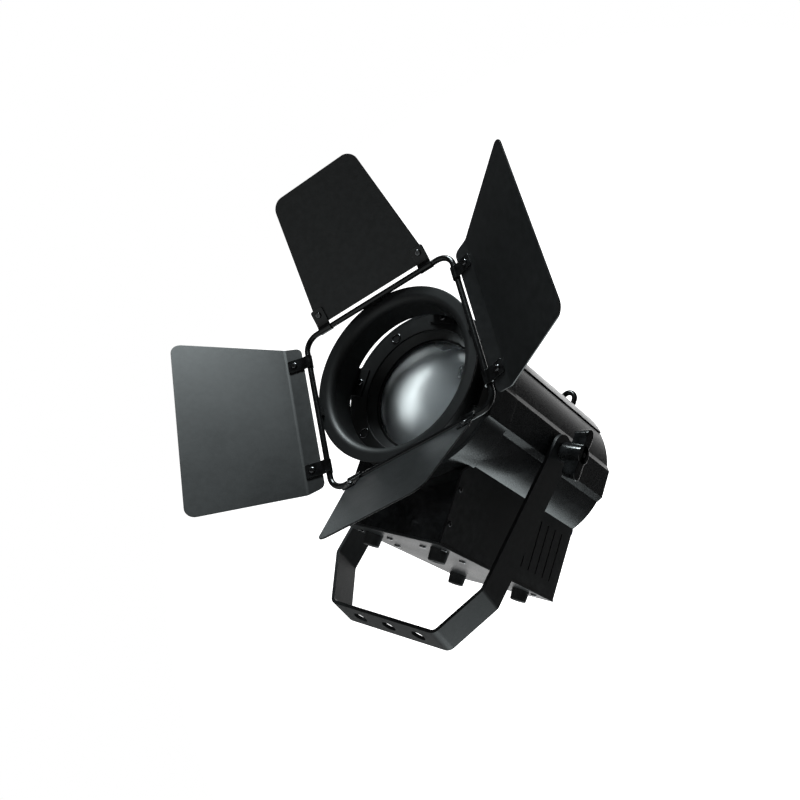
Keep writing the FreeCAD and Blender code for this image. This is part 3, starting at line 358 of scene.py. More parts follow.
# The lens tint is dark as painted shade, so the lens reads dark.
glass("lens_glass", (0.17, 0.18, 0.19), 0.33)
speckled("led_phosphor", (0.8, 0.62, 0.08), (0.9, 0.75, 0.2), 4000.0, 0.5)
speckled("circuit_board", (0.01, 0.09, 0.03), (0.02, 0.14, 0.05), 900.0, 0.35)
speckled("display_glass", (0.004, 0.005, 0.008), (0.01, 0.012, 0.02), 60.0, 0.1, 0.02)
speckled("socket_blue", (0.01, 0.035, 0.42), (0.015, 0.05, 0.5), 700.0, 0.3)
speckled("socket_grey", (0.3, 0.3, 0.31), (0.38, 0.38, 0.39), 700.0, 0.35)
print("finishes in all:", len(FINISH))

# %% [markdown]
# ## Making pieces
# A piece starts as a bmesh drawn in millimetres. Its corner normals lean to the larger
# faces, so that flat sheet stays flat right up to its softened edges. Vertices closer
# than WELD are merged, and outlines that reach the axis stop at AXIS short of it.
# Vertices and faces are sorted along a slanting line, so that every run lists them alike.

# %% Piece helpers
def keep_flats_flat(mesh, limit):
    """Each corner takes the area-weighted mean normal of the faces it blends with."""
    around = [[] for _ in mesh.vertices]
    for face in mesh.polygons:
        for corner in face.vertices:
            around[corner].append((face.normal, face.area))
    normals = []
    for face in mesh.polygons:
        for corner in face.vertices:
            blend = Vector()
            for normal, area in around[corner]:
                if normal.dot(face.normal) > math.cos(limit):
                    blend += normal * area
            normals.append(blend.normalized() if blend.length > 0 else face.normal)
    mesh.normals_split_custom_set(normals)


WELD = 0.002
SORT_ALONG = Vector((1.0, 1.37, 2.11))
AXIS = 0.001


def finish_piece(name, bm, place, body, finish, replaces, sharp=35.0, merge=WELD):
    bmesh.ops.remove_doubles(bm, verts=bm.verts, dist=merge)
    bmesh.ops.recalc_face_normals(bm, faces=bm.faces)
    bm.transform(place)
    bm.verts.sort(key=lambda v: v.co.dot(SORT_ALONG))
    bm.faces.sort(key=lambda f: f.calc_center_median().dot(SORT_ALONG))
    mesh = bpy.data.meshes.new(name)
    bm.to_mesh(mesh)
    bm.free()
    mesh.shade_smooth()
    mesh.set_sharp_from_angle(angle=math.radians(sharp))
    keep_flats_flat(mesh, math.radians(sharp))
    mesh.materials.append(FINISH[finish])
    piece = bpy.data.objects.new(name, mesh)
    scene.collection.objects.link(piece)
    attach(piece, body)
    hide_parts(*replaces)
    print(f"{name}: {len(mesh.polygons)} faces")


def sharp_edges(bm, limit):
    angle = math.radians(limit)
    return [e for e in bm.edges if len(e.link_faces) == 2 and e.calc_face_angle(0) > angle]


def ease(bm, width, segments=2, limit=30.0, edges=None):
    """Break the sharp edges of a bmesh with a small rounded bevel."""
    picked = sharp_edges(bm, limit) if edges is None else edges
    bmesh.ops.bevel(bm, geom=picked, offset=width, offset_type="OFFSET", affect="EDGES",
                    segments=segments, profile=0.5, clamp_overlap=True, material=-1)


def stamp(target, source, place=Matrix.Identity(4)):
    """Add a copy of one bmesh to another at a place."""
    mesh = bpy.data.meshes.new("stamp")
    source.to_mesh(mesh)
    mesh.transform(place)
    target.from_mesh(mesh)
    bpy.data.meshes.remove(mesh)


def verts_in(geom):
    return [g for g in geom if isinstance(g, bmesh.types.BMVert)]


def edges_in(geom):
    return [g for g in geom if isinstance(g, bmesh.types.BMEdge)]


def edges_of(verts):
    """The edges at the vertices, each once and always in the same order."""
    return list(dict.fromkeys(e for v in verts for e in v.link_edges))


def pull(bm, edges, along):
    """Extrude edges by a vector; returns the new vertices and the edges between them."""
    made = bmesh.ops.extrude_edge_only(bm, edges=edges)["geom"]
    verts = verts_in(made)
    bmesh.ops.translate(bm, verts=verts, vec=along)
    return verts, [e for e in edges_in(made) if all(v in verts for v in e.verts)]


def chain(bm, points, closed=False):
    """A wire through the points; returns its vertices."""
    verts = [bm.verts.new(p) for p in points]
    pairs = list(zip(verts, verts[1:]))
    if closed:
        pairs.append((verts[-1], verts[0]))
    for pair in pairs:
        bm.edges.new(pair)
    return verts


def round_off(bm, verts, reach, segments=6):
    """Round the corners at the given vertices; reach is how far back each arc starts."""
    bmesh.ops.bevel(bm, geom=verts, offset=reach, offset_type="OFFSET", affect="VERTICES",
                    segments=segments, profile=0.5, clamp_overlap=True, material=-1)


def spun(points, steps, rounds=(), upright=False):
    """Spin a closed outline of (radius, along) points about y, or about z if upright.

    rounds is a list of (point index, reach) for corners to be rounded first."""
    bm = bmesh.new()
    axis = (0, 0, 1) if upright else (0, 1, 0)
    verts = chain(bm, [(r, 0, a) if upright else (r, a, 0) for r, a in points], closed=True)
    for index, reach in rounds:
        round_off(bm, [verts[index]], reach)
    bmesh.ops.spin(bm, geom=bm.verts[:] + bm.edges[:], cent=(0, 0, 0), axis=axis,
                   angle=math.tau, steps=steps, use_merge=True)
    return bm


# %% [markdown]
# ### Eased copies
# Folded and cast pieces such as the yoke and the housing already have their true
# shape in the engineering model, but their edges are mathematically sharp, and a sharp
# edge never catches light. A merged copy of the mesh, with its flat triangles dissolved
# and its edges given a tiny bevel, has the soft bright lines of painted metal.

# %% Eased copies of engineering nodes
def eased_copy(node, body, finish, width):
    bm = bmesh.new()
    bm.from_mesh(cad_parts[node].data)
    bm.transform(Matrix.Scale(1 / MM, 4))
    bmesh.ops.remove_doubles(bm, verts=bm.verts, dist=WELD)
    bmesh.ops.dissolve_limit(bm, angle_limit=FLAT_LIMIT, verts=bm.verts, edges=bm.edges)
    ease(bm, width)
    finish_piece(f"{node}_eased", bm, YOKE, body, finish, [node])


FLAT_LIMIT = math.radians(0.5)
FOLDED = [
    ("yoke_bracket", "yoke", "powder_black", 0.5),
    ("barrel_shell", "head", "powder_black_shell", 0.35),
    ("top_cover", "head", "powder_black_shell", 0.3),
    ("front_collar", "head", "powder_black_shell", 0.6),
    ("rear_cap", "head", "powder_black_shell", 0.35),
    ("driver_box", "head", "powder_black", 0.35),
    ("base_plate", "head", "base_gloss", 0.5),
    ("box_front_cover", "head", "gloss_cover", 0.6),
    # The brackets take the darker black of painted shade inside the ring.
    ("retaining_brackets", "head", "inner_black_painted_shade", 0.3),
    ("rear_panel", "head", "panel_black", 0.3),
    ("fan_frame", "head", "fan_plastic", 0.4),
    ("fan_rotor", "fan_rotor", "fan_plastic", 0.3),
    ("lens_holder", "zoom_carriage", "black_aluminium", 0.25),
    # The weld tabs take the darker black of painted shade inside the ring.
    ("weld_tabs", "door_set", "inner_black_painted_shade", 0.4),
]
for node, body, finish, width in FOLDED:
    eased_copy(node, body, finish, width)

# %% [markdown]
# ## Barn-door ring
# The ring is spun from one sheet: a wide lip at the front that turns over a generous
# radius into a tube, and a small flange at the back that the brackets hold. Its wall is
# one closed outline, and spinning that outline about the optical axis makes it exactly
# as a metal spinner would.

# %% Door ring
FLANGE_RADIUS, TUBE_RADIUS, LIP_RADIUS = 75.7, 62.5, 6.5
RING_FRONT, FLANGE_GAUGE, TUBE_WALL = 2.58, 1.5, 1.2
TUBE_REAR, REAR_FLANGE = 29.0, 67.5


def door_ring():
    outer = TUBE_RADIUS + TUBE_WALL
    back = RING_FRONT + FLANGE_GAUGE
    step = TUBE_REAR - FLANGE_GAUGE
    outline = [(FLANGE_RADIUS, RING_FRONT), (TUBE_RADIUS, RING_FRONT), (TUBE_RADIUS, TUBE_REAR),
               (REAR_FLANGE, TUBE_REAR), (REAR_FLANGE, step), (outer, step), (outer, back),
               (FLANGE_RADIUS, back)]
    rim = FLANGE_GAUGE * 0.45
    rounds = [(0, rim), (1, LIP_RADIUS), *((corner, 0.4) for corner in (2, 3, 4, 5)),
              (6, LIP_RADIUS - TUBE_WALL), (7, rim)]
    bm = spun(outline, steps=144, rounds=rounds)
    finish_piece("spun_door_ring", bm, DOOR_SET, "door_set", "powder_black", ["door_ring"],
                 sharp=50.0)


door_ring()

# %% [markdown]
# ## Rod frame
# The four doors hinge on a square of 5 mm round bar, bent at the corners. A circle is
# extruded along one side and then spun a quarter turn about the corner's centre, four
# times over, which is the path the bar takes in the bender.

# %% Rod frame
ROD_RADIUS, ROD_CORNER = 2.5, 13.0


def rod_frame():
    bm = bmesh.new()
    run = 2 * (ROD_HALF - ROD_CORNER)
    at = shift(-run / 2, 0, ROD_HALF) @ turn(90, "Y")
    ring = bmesh.ops.create_circle(bm, segments=20, radius=ROD_RADIUS, matrix=at)["verts"]
    edges = edges_of(ring)
    for quarter in range(4):
        heading = turn(90 * quarter, "Y") @ Vector((1, 0, 0))
        verts, edges = pull(bm, edges, heading * run)
        centre = turn(90 * quarter, "Y") @ Vector((run / 2, 0, ROD_HALF - ROD_CORNER))
        spin = bmesh.ops.spin(bm, geom=verts + edges, cent=centre, axis=(0, 1, 0),
                              angle=math.pi / 2, steps=10, use_merge=False)
        edges = edges_in(spin["geom_last"])
    finish_piece("bent_rod_frame", bm, DOOR_SET, "door_set", "satin_black_steel", ["rod_frame"],
                 merge=0.05)


rod_frame()

# %% [markdown]
# ## Doors
# A barn door is one piece of sheet steel with rounded corners. The top and bottom ones
# are flat; the side ones have a shallow fold near the hinge and flare outwards, so the
# four close like a box. One quad per flat makes the blank, its corner vertices are
# rounded, the fold is rolled, and only then does the sheet get its thickness.

# %% Doors
SHEET_GAUGE, SHEET_START = 1.2, 5.1
FAR_CORNER, FLAT_CORNER, FOLDED_CORNER, FOLD_BEND = 9.5, 9.0, 4.5, 1.6
FLAT_OUTLINE = [(57.7, 0.0), (42.3, 111.2)]
FOLD_ANGLE = math.radians(23.7)
FOLD_OUTLINE = [(68.7, 0.0), (71.9, 14.6)]
PANEL_HALF, PANEL_LENGTH = 83.8, 95.6
DOORS = [("top", 0.0, 32.8), ("left", 90.0, 21.4), ("bottom", 180.0, 44.1),
         ("right", 270.0, 18.6)]


def door_blank(folded):
    """A flat or folded blank in the door's own frame, on the sheet's middle surface."""
    bm = bmesh.new()
    near, far = FOLD_OUTLINE if folded else FLAT_OUTLINE
    rows = [(near[0], SHEET_START + near[1], 0.0), (far[0], SHEET_START + far[1], 0.0)]
    if folded:
        _, fold_y, _ = rows[-1]
        rows.append((PANEL_HALF, fold_y + PANEL_LENGTH * math.cos(FOLD_ANGLE),
                     PANEL_LENGTH * math.sin(FOLD_ANGLE)))
    pairs = [(bm.verts.new((-x, y, z)), bm.verts.new((x, y, z))) for x, y, z in rows]
    for (a, b), (c, d) in zip(pairs, pairs[1:]):
        bm.faces.new((a, b, d, c))
    if folded:
        fold = bm.edges.get(pairs[1])
        bmesh.ops.bevel(bm, geom=[fold], offset=FOLD_BEND, offset_type="OFFSET", affect="EDGES",
                        segments=4, profile=0.5, material=-1)
    return bm


def corner_verts(bm, lowest, highest):
    return [v for v in bm.verts if len(v.link_edges) == 2 and lowest <= v.co.y <= highest]


def door(name, side_angle, opening):
    folded = name in ("left", "right")
    bm = door_blank(folded)
    last = max(v.co.y for v in bm.verts)
    round_off(bm, corner_verts(bm, last - 1, last + 1), FAR_CORNER, segments=8)
    near_reach = FOLDED_CORNER if folded else FLAT_CORNER
    round_off(bm, corner_verts(bm, SHEET_START - 1, SHEET_START + 0.01), near_reach)
    bmesh.ops.recalc_face_normals(bm, faces=bm.faces)
    bmesh.ops.solidify(bm, geom=bm.faces, thickness=SHEET_GAUGE)
    by_the_rod = [v.co.z for v in bm.verts if v.co.y < ROD_CORNER + 2]
    lift = -(min(by_the_rod) + SHEET_GAUGE / 2)
    bmesh.ops.translate(bm, verts=bm.verts, vec=(0, 0, lift))
    ease(bm, 0.25, segments=2, limit=50)
    finish_piece(f"sheet_door_{name}", bm, door_frame(side_angle, opening), f"door_{name}",
                 "door_sheet", [f"door_{name}"], sharp=40.0)


for name, side_angle, opening in DOORS:
    door(name, side_angle, opening)

# %% [markdown]
# ## Hinge clips
# Each door hangs on two clips, strips of steel that lie on the sheet, step up over the
# rod, wrap most of the way round it and pinch it, so that the door stays where it is
# put. The strip's edge-on path is drawn once, the wrap is spun about the rod, and the
# path is extruded to the clip's width and thickened.

# %% Hinge clips
CLIP_WIDTH, CLIP_GAUGE, CLIP_ACROSS, CLIP_END = 12.0, 1.3, 52.0, 18.4
CLIP_MIDDLE = (SHEET_GAUGE + CLIP_GAUGE) / 2
WRAP_RADIUS = RING_FRONT + CLIP_GAUGE / 2
CLIP_STEP, WRAP_START, WRAP_TURN = 6.2, 38, 285


def hinge_clip(bm, across):
    start = math.radians(WRAP_START)
    over = (0, WRAP_RADIUS * math.cos(start), WRAP_RADIUS * math.sin(start))
    strip = bmesh.new()
    verts = chain(strip, [(0, CLIP_END, CLIP_MIDDLE), (0, CLIP_STEP, CLIP_MIDDLE), over])
    round_off(strip, [verts[1]], 1.6, segments=4)
    last = min(strip.verts, key=lambda v: (v.co - Vector(over)).length)
    bmesh.ops.spin(strip, geom=[last], cent=(0, 0, 0), axis=(1, 0, 0),
                   angle=math.radians(WRAP_TURN), steps=26, use_merge=False)
    pull(strip, strip.edges[:], (CLIP_WIDTH, 0, 0))
    bmesh.ops.translate(strip, verts=strip.verts, vec=(across - CLIP_WIDTH / 2, 0, 0))
    tip = [v for v in strip.verts if len(v.link_edges) == 2 and v.co.y > CLIP_END - 0.1]
    round_off(strip, tip, 1.8, segments=4)
    bmesh.ops.recalc_face_normals(strip, faces=strip.faces)
    bmesh.ops.solidify(strip, geom=strip.faces, thickness=CLIP_GAUGE)
    flat = [v.co.z for v in strip.verts if v.co.y > CLIP_END - 4]
    lift = CLIP_MIDDLE - (min(flat) + max(flat)) / 2
    bmesh.ops.translate(strip, verts=strip.verts, vec=(0, 0, lift))
    ease(strip, 0.22, segments=2, limit=60)
    stamp(bm, strip)
    strip.free()


def hinge_clips(name, side_angle, opening):
    bm = bmesh.new()
    for side in (-1, 1):
        hinge_clip(bm, side * CLIP_ACROSS)
    # The clips take the darker steel of painted shade.
    finish_piece(f"bent_clips_{name}", bm, door_frame(side_angle, opening), f"door_{name}",
                 "clip_steel_painted_shade", [f"clips_{name}"], sharp=50.0)


for name, side_angle, opening in DOORS:
    hinge_clips(name, side_angle, opening)

# %% [markdown]
# ## Screws
# The lamp is held together by cross-recess screws with pan heads. A head is a disc whose
# top is stepped in and up into a low dome; the cross is a twelve-sided loop bridged to
# the dome's last ring and pushed down. One maker draws every screw at its own size.

# %% Screw makers
def cross_loop(bm, reach, arm, height):
    points = []
    for quarter in range(4):
        spin = turn(90 * quarter, "Z")
        for x, y in ((arm, arm), (arm, reach), (-arm, reach)):
            points.append(spin @ Vector((x, y, height)))
    return chain(bm, points, closed=True)


def pan_head(radius, height, segments=20):
    """A pan head standing on z = 0, its cross recess opening upwards."""
    bm = bmesh.new()
    disc = bmesh.ops.create_circle(bm, cap_ends=True, segments=segments, radius=radius)
    face = disc["verts"][0].link_faces[0]
    steps = [(0.0, 0.45), (0.06, 0.25), (0.14, 0.2), (0.2, 0.1)]
    for inset, rise in steps:
        pulled = bmesh.ops.extrude_discrete_faces(bm, faces=[face])["faces"][0]
        shrink = 1 - inset
        bmesh.ops.scale(bm, verts=pulled.verts, vec=(shrink, shrink, 1))
        bmesh.ops.translate(bm, verts=pulled.verts, vec=(0, 0, rise * height))
        face = pulled
    rim = list(face.edges)
    top = face.verts[0].co.z
    bmesh.ops.delete(bm, geom=[face], context="FACES_ONLY")
    recess = cross_loop(bm, radius * 0.5, radius * 0.13, top)
    loop = [bm.edges.get((recess[i], recess[i - 1])) for i in range(len(recess))]
    bmesh.ops.bridge_loops(bm, edges=rim + loop)
    low, floor = pull(bm, loop, (0, 0, -height * 0.75))
    bmesh.ops.contextual_create(bm, geom=low + floor)
    return bm


def hex_nut(radius, height):
    """A chamfered nut hanging below z = 0."""
    bm = bmesh.new()
    disc = bmesh.ops.create_circle(bm, cap_ends=True, segments=6, radius=radius)
    face = disc["verts"][0].link_faces[0]
    pulled = bmesh.ops.extrude_face_region(bm, geom=[face])["geom"]
    bmesh.ops.translate(bm, verts=verts_in(pulled), vec=(0, 0, -height))
    bmesh.ops.recalc_face_normals(bm, faces=bm.faces)
    ease(bm, radius * 0.09, segments=2)
    return bm


def screws(name, node, places, radius, height, body, place):
    """Pan heads at each (matrix in the head's frame), standing for a node of screws."""
    bm, head = bmesh.new(), pan_head(radius, height)
    for index, spot in enumerate(places):
        stamp(bm, head, spot @ turn(37 * index + 11, "Z"))
    head.free()
    finish_piece(name, bm, place, body, "black_screw", [node], sharp=32.0)


# %% Door screws
CLIP_SCREW, SCREW_OUT = 2.7, 13.0
SCREW_HEIGHT = 1.62


def clip_screws(name, side_angle, opening):
    bm = bmesh.new()
    head, nut = pan_head(CLIP_SCREW, SCREW_HEIGHT), hex_nut(CLIP_SCREW, SCREW_HEIGHT)
    top = SHEET_GAUGE / 2 + CLIP_GAUGE
    for index, side in enumerate((-1, 1)):
        spot = shift(side * CLIP_ACROSS, SCREW_OUT, 0)
        stamp(bm, head, spot @ shift(0, 0, top) @ turn(25 + 50 * index + side_angle / 3, "Z"))
        stamp(bm, nut, spot @ shift(0, 0, -SHEET_GAUGE / 2) @ turn(17 * index, "Z"))
    head.free()
    nut.free()
    finish_piece(f"cross_screws_{name}", bm, door_frame(side_angle, opening), f"door_{name}",
                 "black_screw", [f"clip_screws_{name}"], sharp=32.0)


for name, side_angle, opening in DOORS:
    clip_screws(name, side_angle, opening)

# %% [markdown]
# ### Screws on the head
# The bottom plate, the sides of the box and the four ring brackets are screwed on with
# the same heads. The front plate's four holes are different: each is a rolled eyelet
# with a dark centre, so it is spun as a small ring.

# %% Screws on the head
SMALL_SCREW, SIDE_SCREW = 2.88, 2.16
BOX_FLOOR, BOX_HALF, BOX_FRONT, COVER_GAUGE = 118.0, 52.3, 56.6, 2.0
SIDE_RISES = (-70.8, -99.175)
FOOT_ACROSS, FOOT_FRONT, FOOT_REAR, FOOT_RADIUS = 35.0, 85.0, 222.0, 8.0
BRACKET_FACE, BRACKET_CIRCLE, EYELET_CIRCLE = 39.5, 64.8, 61.5
PLATE_OPENING, PLATE_EDGE, PLATE_FRONT, PLATE_REAR = 54.9, 69.0, 41.0, 43.0


def under_spots():
    edge = BOX_HALF - FOOT_RADIUS
    spots = [(side * edge, back) for side in (-1, 1)
             for back in (FOOT_FRONT - FOOT_RADIUS, FOOT_REAR + FOOT_RADIUS)]
    spots += [(side * FOOT_ACROSS / 2, FOOT_FRONT) for side in (-1, 1)]
    spots += [(side * FOOT_ACROSS, FOOT_FRONT + FOOT_ACROSS) for side in (-1, 1)]
    return [shift(x, y, -BOX_FLOOR) @ turn(180, "X") for x, y in spots]


def side_spots():
    back = BOX_FRONT + COVER_GAUGE + SIDE_SCREW * 2
    places = []
    for side in (-1, 1):
        for rise in SIDE_RISES:
            places.append(shift(side * BOX_HALF, back, rise) @ turn(90 * side, "Y"))
    return places


def ring_spots(radius, first, y):
    """Four places round the optical axis, facing forwards."""
    places = []
    for i in range(4):
        angle = math.radians(first + 90 * i)
        x, z = radius * math.cos(angle), radius * math.sin(angle)
        places.append(shift(x, y, z) @ turn(90, "X"))
    return places


screws("base_cross_screws", "base_screws", under_spots(), SMALL_SCREW, 1.44, "head", HEAD)
screws("side_cross_screws", "side_screws", side_spots(), SIDE_SCREW, 1.08, "head", HEAD)
screws("bracket_cross_screws", "bracket_screws", ring_spots(BRACKET_CIRCLE, 0, BRACKET_FACE),
       SMALL_SCREW, 1.8, "head", HEAD)


def eyelets():
    bm = bmesh.new()
    outline = [(3.5, 0.9), (4.5, 0.9), (4.8, 0.0), (3.3, 0.0)]
    ring = spun(outline, steps=36, rounds=[(0, 0.3), (1, 0.3)], upright=True)
    for spot in ring_spots(EYELET_CIRCLE, 45, PLATE_FRONT):
        stamp(bm, ring, spot)
    ring.free()
    finish_piece("front_eyelets", bm, HEAD, "head", "black_screw", ["front_plate_screws"])


eyelets()

# %% [markdown]
# ## Wing knobs
# Two moulded knobs clamp the tilt. Each has a round hub and two blunt wings that stand
# out from it towards the fingers. The wing blank is one outline with fully rounded
# ends, pulled to its depth, and the hub is a turned boss; eased edges give both the thin
# bright lines that glossy plastic shows.

# %% Wing knobs
KNOB_HUB, KNOB_START, KNOB_FACE = 9.0, 78.9, 99.9
WING_TIP, WING_WAIST, WING_REACH, WING_DEPTH = 5.6, 4.8, 18.0, 13.0
STUD_RADIUS, STUD_END, KNOB_ANGLE = 4.0, 69.3, 6.0


def wing_knob(name, side):
    outline = [(KNOB_START, KNOB_HUB - 1.0), (KNOB_START + 3.0, KNOB_HUB),
               (KNOB_FACE, KNOB_HUB - 0.3), (KNOB_FACE, 2.2), (KNOB_FACE - 0.4, 1.6),
               (KNOB_FACE - 0.4, AXIS), (STUD_END, AXIS), (STUD_END, STUD_RADIUS),
               (KNOB_START, STUD_RADIUS)]
    bm = spun([(r, a) for a, r in outline], steps=48, rounds=[(2, 1.0)], upright=True)
    wings = bmesh.new()
    half = WING_REACH + WING_TIP
    corners = [(-WING_WAIST, 0), (-WING_TIP, -half), (WING_TIP, -half), (WING_WAIST, 0),
               (WING_TIP, half), (-WING_TIP, half)]
    verts = chain(wings, [(x, y, KNOB_FACE - WING_DEPTH) for x, y in corners], closed=True)
    round_off(wings, [verts[1], verts[2], verts[4], verts[5]], WING_TIP * 0.98, segments=8)
    ends = [v for v in wings.verts if abs(v.co.y) < 0.1]
    round_off(wings, ends, 4.0, segments=4)
    base = bmesh.ops.contextual_create(wings, geom=wings.verts[:] + wings.edges[:])["faces"]
    pulled = bmesh.ops.extrude_face_region(wings, geom=base)["geom"]
    bmesh.ops.translate(wings, verts=verts_in(pulled), vec=(0, 0, WING_DEPTH))
    for v in wings.verts:
        if v.co.z < KNOB_FACE - 1:
            v.co.y *= 0.9
    bmesh.ops.recalc_face_normals(wings, faces=wings.faces)
    ease(wings, 1.1, segments=3, limit=50)
    stamp(bm, wings)
    wings.free()
    outwards = turn(90, "Y") if side > 0 else turn(-90, "Y")
    upright = turn(-KNOB_ANGLE, "X") @ outwards @ turn(90, "Z")
    finish_piece(f"wing_knob_{name}", bm, PIVOT @ upright, f"knob_{name}", "knob_plastic",
                 [f"tilt_knob_{name}"], sharp=50.0)


wing_knob("right", 1)
wing_knob("left", -1)

# %% [markdown]
# ## Pivot washers
# A thick nylon washer keeps each arm off the head. Its rounded rim is what shows beside
# the arm as a second bright arc.

# %% Pivot washers
WASHER_RADIUS, WASHER_BORE, WASHER_NEAR, WASHER_FAR = 13.0, 4.08, 72.5, 75.1


def pivot_washers():
    bm = bmesh.new()
    outline = [(WASHER_BORE, WASHER_NEAR), (WASHER_RADIUS, WASHER_NEAR),
               (WASHER_RADIUS, WASHER_FAR), (WASHER_BORE, WASHER_FAR)]
    disc = spun(outline, steps=64, rounds=[(1, 0.5), (2, 0.7)], upright=True)
    for side in (-1, 1):
        stamp(bm, disc, turn(90 * side, "Y"))
    disc.free()
    finish_piece("moulded_washers", bm, PIVOT, "head", "nylon_washer", ["pivot_washers"])


pivot_washers()

# %% [markdown]
# ## Lens
# The front of the lens is one smooth dome. Behind it the glass is stepped into rings, as
# every fresnel is, to save the weight of the thick middle. Both sides come from one
# outline: an arc of the dome's true radius, and a saw-toothed back.

# %% Lens
LENS_RADIUS, LENS_RIM_FRONT, LENS_RIM, LENS_DOME = 47.8, 51.0, 4.0, 90.0
LENS_RINGS, RING_DEPTH, ARC_STEPS = 14, 0.35, 20


def dome_front(radius):
    """How far back the front of the lens stands at a radius."""
    rim = math.sqrt(LENS_DOME ** 2 - LENS_RADIUS ** 2)
    return LENS_RIM_FRONT + rim - math.sqrt(LENS_DOME ** 2 - radius ** 2)


def lens():
    bm = bmesh.new()
    rear = LENS_RIM_FRONT + LENS_RIM
    front = [LENS_RADIUS * math.sin(math.pi / 2 * i / ARC_STEPS) for i in range(ARC_STEPS + 1)]
    points = [(r, dome_front(r), 0) for r in front]
    pitch = (LENS_RADIUS - 3.0) / LENS_RINGS
    points.append((LENS_RADIUS, rear, 0))
    for ring in range(LENS_RINGS):
        outer = LENS_RADIUS - 1.0 - pitch * ring
        points.append((outer, rear, 0))
        points.append((outer - 0.15, rear - RING_DEPTH, 0))
    points.append((0.0, rear, 0))
    chain(bm, points)
    bmesh.ops.spin(bm, geom=bm.verts[:] + bm.edges[:], cent=(0, 0, 0), axis=(0, 1, 0),
                   angle=math.tau, steps=128, use_merge=True)
    finish_piece("pressed_lens", bm, HEAD, "zoom_carriage", "lens_glass", ["lens"], sharp=30.0)


lens()


# %% Lens ring
FIT, RING_GAUGE, HOLDER_WALL = 0.08, 0.8, 2.6


def lens_ring():
    rear = LENS_RIM_FRONT - FIT
    near, far = LENS_RADIUS - FIT, LENS_RADIUS + HOLDER_WALL
    outline = [(near, rear - RING_GAUGE), (far, rear - RING_GAUGE), (far, rear), (near, rear)]
    bm = spun(outline, steps=128, rounds=[(0, 0.25), (1, 0.25)])
    finish_piece("turned_lens_ring", bm, HEAD, "zoom_carriage", "black_aluminium", ["lens_ring"])


lens_ring()

# %% [markdown]
# ## Front plate and baffle
# A flat ring closes the front of the barrel around the lens, with a rolled inner rim
# that catches a hair of light, and a short black cone runs back from it to the lens.

# %% Front plate and baffle
BAFFLE_MOUTH, BAFFLE_REAR, BAFFLE_WALL = 49.6, 49.4, 1.5


def front_plate():
    outline = [(PLATE_OPENING, PLATE_FRONT), (PLATE_EDGE, PLATE_FRONT),
               (PLATE_EDGE, PLATE_REAR), (PLATE_OPENING, PLATE_REAR)]
    bm = spun(outline, steps=128, rounds=[(0, 0.5), (3, 0.3)])
    # The plate's darker black is painted shade inside the ring.
    finish_piece("rimmed_front_plate", bm, HEAD, "head", "inner_black_painted_shade", ["front_plate"])


def light_baffle():
    outline = [(PLATE_OPENING, PLATE_REAR), (PLATE_OPENING + BAFFLE_WALL, PLATE_REAR),
               (BAFFLE_MOUTH + BAFFLE_WALL, BAFFLE_REAR), (BAFFLE_MOUTH, BAFFLE_REAR)]
    bm = spun(outline, steps=128, rounds=[(3, 0.2)])
    # The baffle's darker black is painted shade.
    finish_piece("cone_baffle", bm, HEAD, "head", "inner_black_painted_shade", ["light_baffle"])


front_plate()
light_baffle()

# %% [markdown]
# ## Rubber feet
# The lamp can stand on four moulded feet. Each is a slightly tapered plug, rounded where
# it meets the floor, with a sunk washer seat for its screw.

# %% Rubber feet
FOOT_HEIGHT, FOOT_TIP, SEAT_RADIUS, SEAT_RISE = 10.0, 7.3, 2.67, 5.2


def rubber_feet():
    bm = bmesh.new()
    outline = [(AXIS, -SEAT_RISE), (SEAT_RADIUS, -SEAT_RISE), (SEAT_RADIUS, -FOOT_HEIGHT),
               (FOOT_TIP, -FOOT_HEIGHT), (FOOT_RADIUS, 0.0), (AXIS, 0.0)]
    foot = spun(outline, steps=32, rounds=[(2, 0.4), (3, 1.1)], upright=True)
    screw = pan_head(2.2, 1.3)
    for x in (-FOOT_ACROSS, FOOT_ACROSS):
        for y in (FOOT_FRONT, FOOT_REAR):
            stamp(bm, foot, shift(x, y, -BOX_FLOOR))
            stamp(bm, screw, shift(x, y, 0.1 - BOX_FLOOR - SEAT_RISE) @ turn(180, "X"))
    foot.free()
    screw.free()
    finish_piece("moulded_feet", bm, HEAD, "head", "foot_rubber", ["rubber_feet"])


rubber_feet()

# %% [markdown]
# ## Zoom knob
# The lens carriage is moved by hand with a small knurled knob that slides in a slot in
# the side of the barrel. The knurl is made by pulling every other strip of a turned
# cylinder's side outwards.

# %% Zoom knob
ZOOM_UNDER, ZOOM_BACK, ZOOM_RADIUS, ZOOM_LENGTH, ZOOM_STEM = 73.5, 79.0, 8.0, 10.0, 3.0
KNURL_DEPTH = 0.33


